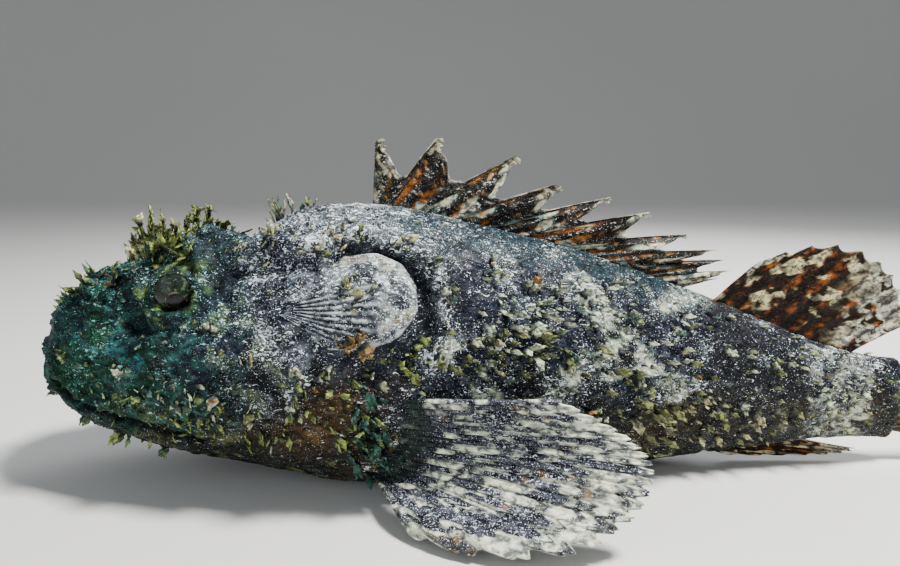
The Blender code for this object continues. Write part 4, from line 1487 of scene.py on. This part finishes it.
@dataclass
class Eye:
    """An eye: a clear-coated ball with a dark pupil in a gold ring and a mottled iris."""

    side: Side
    radius: float = 8.2
    pupil: float = 2.35
    gaze: tuple = (0.24, 0.94, -0.23)

    def build(self) -> Piece:
        """Builds and dresses the eye.

        Returns:
            The piece.
        """
        Bench.clear()
        bpy.ops.mesh.primitive_uv_sphere_add(segments=96, ring_count=96, radius=1)
        piece = bpy.context.object
        piece.name = piece.data.name = "eyeball_" + self.side.word
        raw = np.empty(len(piece.data.vertices) * 3, np.float32)
        piece.data.vertices.foreach_get("co", raw)
        ball = raw.reshape(-1, 3).astype(float)
        gaze = np.array(self.gaze) * (1, self.side.value, 1)
        gaze /= np.linalg.norm(gaze)
        turn = np.array(Vector((0, 0, 1)).rotation_difference(Vector(gaze)).to_matrix())
        off = np.hypot(ball[:, 0], ball[:, 1])
        front = ball[:, 2] > 0
        bulge = 0.5 * (1 - step(off, 0.1, 0.55)) * front
        centre = np.array(FORM.eye_place) * (1, self.side.value, 1)
        place = centre + (ball * (self.radius + bulge)[:, None]) @ turn.T
        piece.data.vertices.foreach_set("co", to_world(place).astype(np.float32).ravel())
        reach = off * self.radius
        angle = np.arctan2(ball[:, 1], ball[:, 0])
        edge = self.pupil * (1 + 0.10 * np.cos(2 * angle) + 0.05 * np.cos(3 * angle + 1))
        ringed = np.stack([np.cos(angle) * 4, np.sin(angle) * 4, reach * 0.8], -1)
        mottle = cloud(ringed, 0.9, 101, 2)
        ground = Ground(reach, (0.007, 0.013, 0.007))
        ground.lay((0.003, 0.007, 0.006), step(mottle, 0.44, 0.56))
        ground.lay((0.040, 0.075, 0.035), step(mottle, 0.60, 0.70) * 0.8)
        ground.lay((0.12, 0.095, 0.035), between(reach, edge + 0.02, edge + 0.16, 0.08))
        ground.lay((0.004, 0.005, 0.008), (1 - step(reach, edge - 0.15, edge + 0.05)) * front)
        colour = ground.colour
        for key, values in zip(LAYERS, (colour, colour * 2.5 + 0.04, 0.25 * (reach > 3))):
            Bench.paint(piece, key, values)
        bpy.ops.object.shade_smooth()
        finish = MottledFinish(
            "wet_eye_" + self.side.word,
            dust_size=0.3,
            roughness=0.28,
            grain=0.02,
            scale_depth=0.0,
            coat=0.35,
        )
        Bench.finish(piece, finish.build(), "eye", "eye_" + self.side.word)
        return piece


@dataclass
class Flaps:
    """Soft leaf-shaped flaps of skin, each modelled once and set down many times."""

    # Distance from the snout, height, length, width, and how far each leans back and up
    large: tuple = (
        (3.5, 53, 5.0, 4.5, -0.3, 0.6),
        (12, 56, 4.0, 5.5, -0.2, 0.5),
        (20.5, 62, 7.0, 4.5, -0.1, 1.0),
        (25.5, 63, 4.5, 4.5, 0.5, 0.9),
        (16.5, 43, 3.0, 5.0, 0.2, -0.5),
        (35, 33.5, 4.5, 6.0, 0.3, -0.8),
        (40, 33.5, 4.0, 6.0, 0.3, -0.8),
        (56, 34, 5.0, 6.5, 0.4, -0.8),
        (61.5, 34.5, 5.0, 6.5, 0.4, -0.7),
        (49, 38, 3.0, 5.0, 0.4, -0.3),
        (41, 47.5, 3.0, 4.0, 0.9, 0.1),
        (62, 47, 4.0, 5.5, 1.0, -0.2),
        (71.5, 44.5, 4.5, 6.0, 1.0, -0.3),
        (83, 44.5, 6.0, 6.0, 1.2, -0.1),
        (84.5, 37, 5.0, 6.0, 1.0, -0.3),
        (82, 30, 4.5, 5.5, 0.9, -0.4),
        (75, 22, 4.0, 5.5, 0.7, -0.5),
        (70, 31, 4.5, 6.0, 0.6, -0.5),
        (53, 70.5, 4.0, 4.0, 1.0, 0.5),
        (65.5, 71.5, 4.0, 4.5, 1.0, 0.5),
        (73.5, 75, 4.5, 5.0, 1.0, 0.6),
        (88, 73.5, 5.5, 5.0, 1.3, 0.1),
        (70, 79, 9, 3.6, -0.35, 1.3),
        (81, 82.3, 4.0, 5.0, 0.7, 0.9),
        (59, 52, 3.5, 5.0, 0.7, 0.1),
        (92, 43, 3.5, 5.0, 0.9, -0.3),
        (6, 29, 3.5, 4.5, -0.2, -0.5),
        (15, 22, 4.0, 5.0, 0.2, -0.4),
        (28, 18.5, 4.5, 5.0, 0.3, -0.4),
        (41, 15.5, 4.5, 5.0, 0.4, -0.3),
        (99, 75.5, 4.0, 5.0, 1.2, 0.3),
        (110, 73.5, 4.0, 5.0, 1.2, 0.2),
        (119, 69.5, 5.0, 5.5, 1.2, 0.0),
        (122.5, 60, 4.5, 5.5, 1.2, 0.0),
        (120, 47, 5.0, 6.5, 1.0, -0.2),
        (103, 41, 5.0, 6.5, 0.8, -0.3),
        (134, 67, 4.0, 5.5, 1.2, 0.0),
        (147, 61.5, 4.0, 5.5, 1.2, 0.0),
        (161, 56.5, 4.0, 5.5, 1.2, 0.0),
        (176, 51.5, 3.5, 5.5, 1.2, 0.0),
        (190, 47, 3.5, 5.0, 1.2, 0.0),
        (137, 49, 4.5, 6.0, 1.1, -0.2),
        (156, 42, 4.5, 6.0, 1.1, -0.2),
        (177, 36, 4.0, 6.0, 1.1, -0.2),
        (166, 25, 4.0, 6.0, 1.0, -0.3),
        (186, 22, 4.0, 5.5, 1.0, -0.3),
        (207, 41.5, 3.5, 5.0, 1.1, 0.0),
        (222, 36, 3.0, 4.5, 1.1, 0.0),
        (238, 30, 3.0, 4.0, 1.1, 0.0),
        (212, 23, 3.5, 5.0, 1.1, -0.3),
    )
    # Thickets of leaflets: distance from the snout, height, spread along and up, how many, length,
    # width, lift off the skin and tint
    thickets: tuple = (
        (101, 22, 3.2, 8.0, 80, 4.4, 2.4, 0.0, Tint.WEED),
        (97, 30, 4.0, 5.0, 30, 3.8, 2.2, 0.0, Tint.LICHEN),
        (62, 25, 17, 4.5, 70, 3.4, 1.9, 0.0, Tint.LICHEN),
        (50, 35, 10, 3.4, 30, 3.0, 1.8, 0.0, Tint.SAGE),
        (100, 63, 2.6, 2.4, 18, 3.4, 2.4, 1.4, Tint.STRAW),
        (97, 50, 3.4, 1.3, 16, 3.2, 2.4, 1.2, Tint.TAN),
        (113, 45, 3.0, 3.5, 20, 4.0, 2.2, 0.0, Tint.LICHEN),
        (151, 57, 9, 3.2, 44, 4.6, 1.6, 0.0, Tint.SAGE),
        (142, 45, 12, 2.6, 40, 4.2, 1.8, 0.0, Tint.OLIVE),
        (136, 49, 9, 2.4, 26, 4.2, 1.8, 0.0, Tint.SAGE),
        (182, 44, 14, 5.0, 26, 4.0, 1.6, 0.0, Tint.SAGE),
        (176, 22, 24, 7.0, 96, 4.0, 2.0, 0.0, Tint.OLIVE),
        (192, 20, 20, 6.0, 56, 3.6, 1.8, 0.0, Tint.STRAW),
        (247, 26, 7, 6.0, 54, 2.6, 1.5, 0.0, Tint.SAGE),
        (15, 60, 4.0, 2.2, 26, 3.6, 1.9, 0.0, Tint.LICHEN),
        (27, 64, 3.0, 1.8, 28, 4.2, 2.1, 0.0, Tint.STRAW),
        (43, 73, 6.0, 2.4, 60, 4.4, 2.3, 0.0, Tint.LICHEN),
        (68, 72, 4.0, 1.8, 18, 3.8, 2.2, 0.0, Tint.STRAW),
        (88, 76, 6.0, 1.6, 24, 3.6, 2.2, 0.0, Tint.STRAW),
    )
    small: int = 700
    leaflets: int = 5
    brow_leaflets: int = 13
    clearance: float = 3.5
    # How many spines carry tassels, how many of those have full ones, and the lobes of each kind
    tasselled_spines: int = 7
    full_tassels: int = 4
    full_lobes: int = 7
    lesser_lobes: int = 4
    seed: int = 17

    @staticmethod
    def leaf(rows: int, half: int, lobes: float) -> tuple:
        """A closed thin leaf from (0, 0, 0) along z, one unit long and one unit wide.

        Args:
            rows: Points along it.
            half: Points across each face.
            lobes: How deep its edge is cut.

        Returns:
            Its points and its faces.
        """
        points, faces = [(0.0, 0.0, -0.25)], []
        around = 2 * half
        for r in range(rows):
            t = (r + 0.4) / rows
            swell = 0.30 + 0.70 * math.sin(math.pi * min(t * 0.86 + 0.14, 1.0))
            width = 0.5 * swell * (1 - 0.35 * t)
            width *= 1 + lobes * math.sin(12 * t + 0.8)
            curl = 0.28 * t * t
            for k in range(around):
                turn = 2 * math.pi * k / around
                thick = 0.055 * (1 - 0.6 * t)
                ragged = 1 + lobes * (0.42 * math.cos(4 * turn) + 0.38 * math.sin(3 * turn)) * t * t
                cup = 0.30 * math.sin(2 * turn + 5 * t) * width * t
                sway = 0.20 * math.sin(4.2 * t) * t
                across = width * math.cos(turn) + sway
                points.append((across, thick * math.sin(turn) + curl + cup, t * ragged))
        points.append((0.20 * math.sin(4.2), 0.28, 0.90))
        for k in range(around):
            n = (k + 1) % around
            faces.append((0, 1 + n, 1 + k))
            for r in range(rows - 1):
                a = 1 + r * around
                faces.append((a + k, a + n, a + around + n, a + around + k))
            last = 1 + (rows - 1) * around
            faces.append((last + k, last + n, len(points) - 1))
        return np.array(points), faces

    @staticmethod
    def join(name: str, leaf: tuple, roots: Array, frames: Array, turns: Array) -> tuple:
        """One mesh of many copies of a leaf.

        Args:
            name: The piece's name.
            leaf: The leaf's points and faces.
            roots: Where each copy starts.
            frames: Each copy's across, outward and along directions, already scaled.
            turns: Each root's place on the unrolled skin, between 0 and 1.

        Returns:
            The piece and, for each of its points, the copy it belongs to and how far along it is.
        """
        points, faces = leaf
        count, size = len(roots), len(points)
        placed = roots[:, None, :] + np.einsum("pk,nka->npa", points, frames)
        placed[..., 2] = np.maximum(placed[..., 2], 0.05)
        mesh = bpy.data.meshes.new(name)
        every = [tuple(i + n * size for i in face) for n in range(count) for face in faces]
        mesh.from_pydata(to_world(placed).reshape(-1, 3).tolist(), [], every)
        piece = bpy.data.objects.new(name, mesh)
        bpy.context.scene.collection.objects.link(piece)
        bake = mesh.uv_layers.new(name="OFBake")
        loops = np.empty(len(mesh.loops), np.int32)
        mesh.loops.foreach_get("vertex_index", loops)
        patch = turns[:, None, :] + 0.003 * points[None, :, (0, 2)]
        bake.data.foreach_set("uv", patch.reshape(-1, 2)[loops].astype(np.float32).ravel())
        which = np.repeat(np.arange(count), size)
        return piece, which, np.tile(np.clip(points[:, 2], 0, 1), count)

    @staticmethod
    def unrolled(x: Array, turn: Array) -> Array:
        """Each root's place on the unrolled skin, between 0 and 1."""
        return np.stack([x / LENGTH, (turn + math.pi / 2) / (2 * math.pi)], -1) * 0.98 + 0.005

    @staticmethod
    def frames(x: Array, turn: Array, aim: Array, length: Array, width: Array) -> tuple:
        """Roots and directions for flaps on the skin.

        Args:
            x: Their places along the fish.
            turn: Their angles round it.
            aim: How each leans, added to the direction outwards.
            length: Their lengths.
            width: Their widths.

        Returns:
            The roots and the three scaled directions of each.
        """
        root, lifted = FORM.point(x, turn), FORM.point(x, turn, 1.0)
        outward = lifted - root
        outward /= np.maximum(np.linalg.norm(outward, axis=-1, keepdims=True), 1e-6)
        along = outward + aim
        along /= np.linalg.norm(along, axis=-1, keepdims=True)
        across = np.cross(outward, along)
        across /= np.maximum(np.linalg.norm(across, axis=-1, keepdims=True), 1e-6)
        rise = np.cross(along, across)
        rise *= np.where((rise * outward).sum(-1, keepdims=True) < 0, -1.0, 1.0)
        wide, long = width[:, None], length[:, None]
        return root, np.stack([across * wide, rise * wide, along * long], 1)

    def dress(self, piece: Piece, ground: Array, fleck: Array, slot: str) -> None:
        """Paints a piece of joined flaps and gives it its finish.

        Args:
            piece: The piece.
            ground: Each point's colour.
            fleck: Each point's fleck colour.
            slot: The record's slot.
        """
        Bench.paint(piece, "ground", ground)
        Bench.paint(piece, "fleck", fleck)
        Bench.paint(piece, "share", np.full(len(ground), 0.30))
        Bench.close(piece, 1e-7)
        finish = MottledFinish(piece.name + "_skin", grain=0.15, scale_depth=0.0)
        Bench.finish(piece, finish.build(), slot)

    def colours(self, x: Array, z: Array, which: Array, t: Array, key: int) -> tuple:
        """Colours of flaps: dark at the root, and sage, olive, teal, straw or rust at the tip.

        Args:
            x: Each flap's place along the fish.
            z: Its height.
            which: The flap that each point belongs to.
            t: How far along its flap each point is.
            key: Which noise picks the tints.

        Returns:
            Ground and fleck colours.
        """
        pick = cloud(np.stack([x, z, 0 * x], -1) * 3.7, 1.0, key)
        tip = Ground(x, (0.42, 0.46, 0.34))
        tip.lay((0.17, 0.21, 0.08), step(pick, 0.50, 0.52))
        tip.lay((0.05, 0.10, 0.08), step(pick, 0.68, 0.70))
        tip.lay((0.46, 0.43, 0.24), 1 - step(pick, 0.34, 0.36))
        tip.lay((0.26, 0.13, 0.035), 1 - step(pick, 0.17, 0.19))
        front = 1 - step(x, 46, 62)
        tip.lay((0.13, 0.20, 0.06), front * (pick > 0.4) * 0.9)
        tip.lay((0.03, 0.14, 0.11), front * (pick <= 0.4) * 0.85)
        root = flat(x, (0.022, 0.027, 0.033))
        share = step(t, 0.15, 0.75)[:, None]
        ground = root[which] * (1 - share) + tip.colour[which] * share
        return ground, np.clip(ground * 1.5 + 0.08, 0, 0.75)

    def build(self) -> None:
        """Builds and dresses every kind of flap, tuft and tassel in order."""
        rng = np.random.default_rng(self.seed)
        self.tufts(rng)
        self.scatter(rng)
        self.thicket(rng)
        self.brow(rng)
        self.tassels()

    def tufts(self, rng: np.random.Generator) -> None:
        """Sets a tuft of leaves at each of the large flaps' places, on both sides.

        Args:
            rng: Where their scatter comes from.
        """
        rows = np.repeat(np.array(self.large), self.leaflets, axis=0)
        rows = np.concatenate([rows, rows])
        left = np.arange(len(rows)) < len(rows) // 2
        x = rows[:, 0] + rng.normal(0, 1.1, len(rows))
        turn = np.array([FORM.side_turn(a, b, bool(c)) for a, b, c in zip(x, rows[:, 1], left)])
        turn = turn + rng.normal(0, 0.035, len(rows))
        aim = np.stack([rows[:, 4], 0 * x, rows[:, 5]], -1) + rng.normal(0, 0.55, (len(rows), 3))
        size = rng.uniform(0.45, 1.05, len(rows))
        root, frames = self.frames(x, turn, aim, rows[:, 2] * size, rows[:, 3] * 0.52 * size)
        unrolled = self.unrolled(x, turn)
        piece, which, t = self.join("tufts", self.leaf(8, 5, 0.42), root, frames, unrolled)
        self.dress(piece, *self.colours(x, rows[:, 1] + 3 * size, which, t, 111), "skin_head")

    def scatter(self, rng: np.random.Generator) -> None:
        """Scatters small flaps over the skin, clear of the eyes, mouth, gill fan and back fin.

        Args:
            rng: Where their scatter comes from.
        """
        x = rng.uniform(8, 262, self.small)
        turn = rng.uniform(-0.25, math.pi + 0.25, self.small)
        root = FORM.point(x, turn)
        eyes = [np.array(FORM.eye_place) * (1, side.value, 1) for side in Side]
        from_eye = np.min([np.linalg.norm(root - eye, axis=-1) for eye in eyes], axis=0)
        keep = (from_eye > 11) & (to_path(root[:, 0], root[:, 2], FORM.mouth) > 2.5)
        fan = (np.hypot(root[:, 0] - 98, (root[:, 2] - 59) * 1.3) < 19) & (np.abs(root[:, 1]) > 12)
        keep &= ~fan & ~((np.abs(root[:, 1]) < 3) & (x > 96))
        x, turn, root = x[keep], turn[keep], root[keep]
        size = rng.uniform(0.45, 1.0, len(x)) ** 2 * (1.2 - 0.4 * step(x, 120, 260))
        size = size * (1 - 0.45 * step(root[:, 2], 58, 70) * (x > 60))
        aim = np.stack([rng.uniform(1.2, 3.4, len(x)), 0 * x, rng.uniform(-0.9, 0.5, len(x))], -1)
        _, frames = self.frames(x, turn, aim, 4.2 * size, 1.6 * size)
        unrolled = self.unrolled(x, turn)
        piece, which, t = self.join("small_flaps", self.leaf(5, 3, 0.35), root, frames, unrolled)
        self.dress(piece, *self.colours(x, root[:, 2], which, t, 112), "skin_torso")

    def shaded(self, tints: Array, which: Array, t: Array, key: int) -> tuple:
        """Colours of leaflets that darken from their tints at the tip to near black at the root.

        Args:
            tints: Each leaflet's tint.
            which: The leaflet that each point belongs to.
            t: How far along its leaflet each point is.
            key: Which noise varies the tints.

        Returns:
            Ground and fleck colours.
        """
        index = np.arange(len(tints), dtype=float)
        pick = cloud(np.stack([index * 3.7, 0 * index, 0 * index], -1), 1.0, key)[:, None]
        tip = tints * (0.55 + 0.9 * pick)
        share = step(t, 0.05, 0.6)[:, None]
        ground = np.array((0.012, 0.016, 0.016)) * (1 - share) + tip[which] * share
        return ground, np.clip(ground * 1.6 + 0.06, 0, 0.8)

    def thicket(self, rng: np.random.Generator) -> None:
        """Sets the thickets of leaflets on both sides.

        Args:
            rng: Where their scatter comes from.
        """
        columns = []
        for x, z, along, up, count, length, width, lift, tint in self.thickets:
            for side in Side:
                places = np.stack([rng.normal(x, along, count), rng.normal(z, up, count)], -1)
                for place, height in np.clip(places, (2.0, 1.5), (264.0, 79.0)):
                    height = max(height, float(FORM.profile(place, 2)) + self.clearance)
                    turn = FORM.side_turn(place, height, side is Side.LEFT)
                    columns.append((place, turn, length, width, lift, *tint.value))
        rows = np.array(columns)
        x, turn = rows[:, 0], rows[:, 1]
        size = 0.38 + 1.05 * rng.uniform(0, 1, len(rows)) ** 2.2
        aim = rng.normal(0, 0.75, (len(rows), 3)) + (1.0, 0, -0.25)
        aim[:, 0] += 0.5 * step(x, 110, 140)
        root, frames = self.frames(x, turn, aim, rows[:, 2] * size, rows[:, 3] * size)
        root = root + (FORM.point(x, turn, 1.0) - root) * rows[:, 4:5]
        unrolled = self.unrolled(x, turn)
        piece, which, t = self.join("thickets", self.leaf(6, 4, 0.42), root, frames, unrolled)
        self.dress(piece, *self.shaded(rows[:, 5:8], which, t, 113), "skin_torso")

    def brow(self, rng: np.random.Generator) -> None:
        """Sets leaflets all over the two tassels above the eyes.

        Args:
            rng: Where their scatter comes from.
        """
        roots, frames = [], []
        for side in Side:
            for ray in Tentacle(side=side).rays():
                for _ in range(self.brow_leaflets):
                    at = rng.uniform(0.35, 0.97) * (len(ray) - 1)
                    k = int(at)
                    start = ray[k] + (ray[k + 1] - ray[k]) * (at - k)
                    aim = ray[-1] - ray[0]
                    aim = aim / np.linalg.norm(aim) + rng.normal(0, 0.65, 3)
                    aim /= np.linalg.norm(aim)
                    across = np.cross(aim, rng.normal(0, 1, 3))
                    across /= np.linalg.norm(across)
                    size = rng.uniform(0.6, 1.1)
                    rise = np.cross(aim, across)
                    frames.append(np.array((across * 2.3, rise * 1.8, aim * 3.4)) * size)
                    roots.append(start)
        roots = np.array(roots)
        unrolled = np.stack([roots[:, 0] / LENGTH, 0.5 + roots[:, 1] / LENGTH], -1)
        leaf = self.leaf(6, 4, 0.42)
        piece, which, t = self.join("brow_leaflets", leaf, roots, np.array(frames), unrolled)
        tints = np.tile(np.array(Tint.LICHEN.value), (len(roots), 1))
        tints[::3] = Tint.STRAW.value
        self.dress(piece, *self.shaded(tints, which, t, 114), "tassel")

    def tassels(self) -> None:
        """Sets ragged pale lobes behind the tips of the first spines of the back."""
        spines = SpinyDorsal().rays()
        rng = np.random.default_rng(self.seed + 1)
        roots, frames = [], []
        for k, spine in enumerate(spines[: self.tasselled_spines]):
            along = spine[-1] - spine[-2]
            along /= np.linalg.norm(along)
            behind = np.array((along[2], 0, -along[0]))
            full = k < self.full_tassels
            size = 0.9 if full else 0.55
            for n in range(self.full_lobes if full else self.lesser_lobes):
                back = 0.9 * n * size
                start = spine[-1] - along * (0.8 + back) + behind * 0.4
                aim = along * rng.uniform(0.1, 1.0) + behind * rng.uniform(0.3, 1.1)
                aim = aim + np.array((0, rng.uniform(-0.7, 0.7), 0))
                aim /= np.linalg.norm(aim)
                across = np.cross(aim, (0, 1, 0.2))
                across /= np.linalg.norm(across)
                rise = np.cross(aim, across)
                frames.append(np.array((across * 1.5 * size, rise * 1.2 * size, aim * 3.4 * size)))
                roots.append(start)
        roots = np.array(roots)
        unrolled = np.stack([roots[:, 0] / LENGTH, 0.5 + 0 * roots[:, 0]], -1)
        leaf = self.leaf(5, 4, 0.2)
        piece, _, t = self.join("spine_tassels", leaf, roots, np.array(frames), unrolled)
        share = step(t, 0.0, 0.5)[:, None]
        ground = np.array((0.05, 0.04, 0.025)) * (1 - share) + np.array((0.60, 0.57, 0.44)) * share
        self.dress(piece, ground, np.clip(ground * 1.2, 0, 0.8), "dorsal_fin")


@dataclass
class Studio:
    """A plain pale floor, soft lamps and a camera that matches the photograph."""

    camera_place: tuple = (-0.001, -0.185, 0.092)
    tilt: float = 80.0
    lens: float = 24.0
    sensor: float = 36.0
    floor_size: float = 8.0
    wall_height: float = 4.0
    corner_radius: float = 2.0
    # Name, place, what it points at, breadth, power in watts and colour
    lamps: tuple = (
        ("key", (0.32, -0.10, 0.76), (0, 0, 0.04), 0.15, 20.0, (1.0, 0.98, 0.94)),
        ("fill", (-0.6, -0.7, 0.40), (0, 0, 0.04), 0.7, 2.6, (0.88, 0.94, 1.0)),
        ("rim", (0.35, 0.6, 0.6), (0, 0, 0.05), 0.5, 5.0, (0.95, 0.98, 1.0)),
    )
    sky: tuple = (0.86, 0.88, 0.90, 1)
    sky_strength: float = 0.42

    def floor(self) -> None:
        """Lays the floor and curves it up far behind."""
        Bench.clear()
        bpy.ops.mesh.primitive_plane_add(size=self.floor_size, location=(0, 0, 0))
        plane = bpy.context.object
        plane.name = "floor"
        far = self.floor_size / 2 - 0.1
        for edge in plane.data.edges:
            edge.select = all(plane.data.vertices[v].co.y > far for v in edge.vertices)
        for vertex in plane.data.vertices:
            vertex.select = vertex.co.y > far
        for face in plane.data.polygons:
            face.select = False
        bpy.ops.object.mode_set(mode="EDIT")
        bpy.ops.mesh.select_mode(type="EDGE")
        rise = (0, 0, self.wall_height)
        bpy.ops.mesh.extrude_region_move(TRANSFORM_OT_translate={"value": rise})
        bpy.ops.object.mode_set(mode="OBJECT")
        corner = plane.modifiers.new("corner", "BEVEL")
        corner.width, corner.segments = self.corner_radius, 16
        bpy.ops.object.modifier_apply(modifier="corner")
        bpy.ops.object.shade_smooth()
        made = bpy.data.materials.new("pale_floor")
        made.use_nodes = True
        shader = made.node_tree.nodes["Principled BSDF"]
        noise = made.node_tree.nodes.new("ShaderNodeTexNoise")
        noise.inputs["Scale"].default_value = 3.0
        ramp = made.node_tree.nodes.new("ShaderNodeValToRGB")
        ramp.color_ramp.elements[0].color = (0.60, 0.60, 0.59, 1)
        ramp.color_ramp.elements[1].color = (0.66, 0.66, 0.65, 1)
        made.node_tree.links.new(noise.outputs[0], ramp.inputs[0])
        made.node_tree.links.new(ramp.outputs[0], shader.inputs["Base Color"])
        shader.inputs["Roughness"].default_value = 0.7
        plane.data.materials.append(made)

    @staticmethod
    def lamp(name: str, place: tuple, aim: tuple, size: float, power: float, tint: tuple) -> None:
        """Sets one soft lamp.

        Args:
            name: Its name.
            place: Where it stands.
            aim: What it points at.
            size: Its breadth.
            power: Its power in watts.
            tint: Its colour.
        """
        light = bpy.data.lights.new(name, "AREA")
        light.size, light.energy, light.color = size, power, tint
        lamp = bpy.data.objects.new(name, light)
        lamp.location = place
        lamp.rotation_euler = (Vector(aim) - Vector(place)).to_track_quat("-Z", "Y").to_euler()
        bpy.context.scene.collection.objects.link(lamp)

    def build(self) -> None:
        """Sets up the floor, the lamps, the world and the camera."""
        self.floor()
        for lamp in self.lamps:
            self.lamp(*lamp)
        world = bpy.data.worlds.new("soft_grey")
        world.use_nodes = True
        background = world.node_tree.nodes["Background"]
        background.inputs["Color"].default_value = self.sky
        background.inputs["Strength"].default_value = self.sky_strength
        bpy.context.scene.world = world
        data = bpy.data.cameras.new("camera")
        data.lens, data.sensor_width, data.sensor_fit = self.lens, self.sensor, "HORIZONTAL"
        data.clip_start = 0.01
        camera = bpy.data.objects.new("camera", data)
        camera.location = self.camera_place
        camera.rotation_euler = Euler((math.radians(self.tilt), 0, 0))
        bpy.context.scene.collection.objects.link(camera)
        bpy.context.scene.camera = camera


def main() -> None:
    """Builds every piece in order."""
    logging.basicConfig(level=logging.INFO, format="%(name)s %(message)s")
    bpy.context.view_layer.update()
    Skin().build()
    for sheet in (SpinyDorsal, SoftDorsal, AnalFin, TailFin):
        sheet().build()
    for side in Side:
        for sheet in (BreastFin, BellyFin, Tentacle, GillCover):
            made = sheet(side=side)
            made.name, made.node = f"{made.name}_{side.word}", f"{made.node}_{side.word}"
            made.build()
        Eye(side).build()
    Flaps().build()
    Studio().build()


if __name__ == "__main__":
    main()
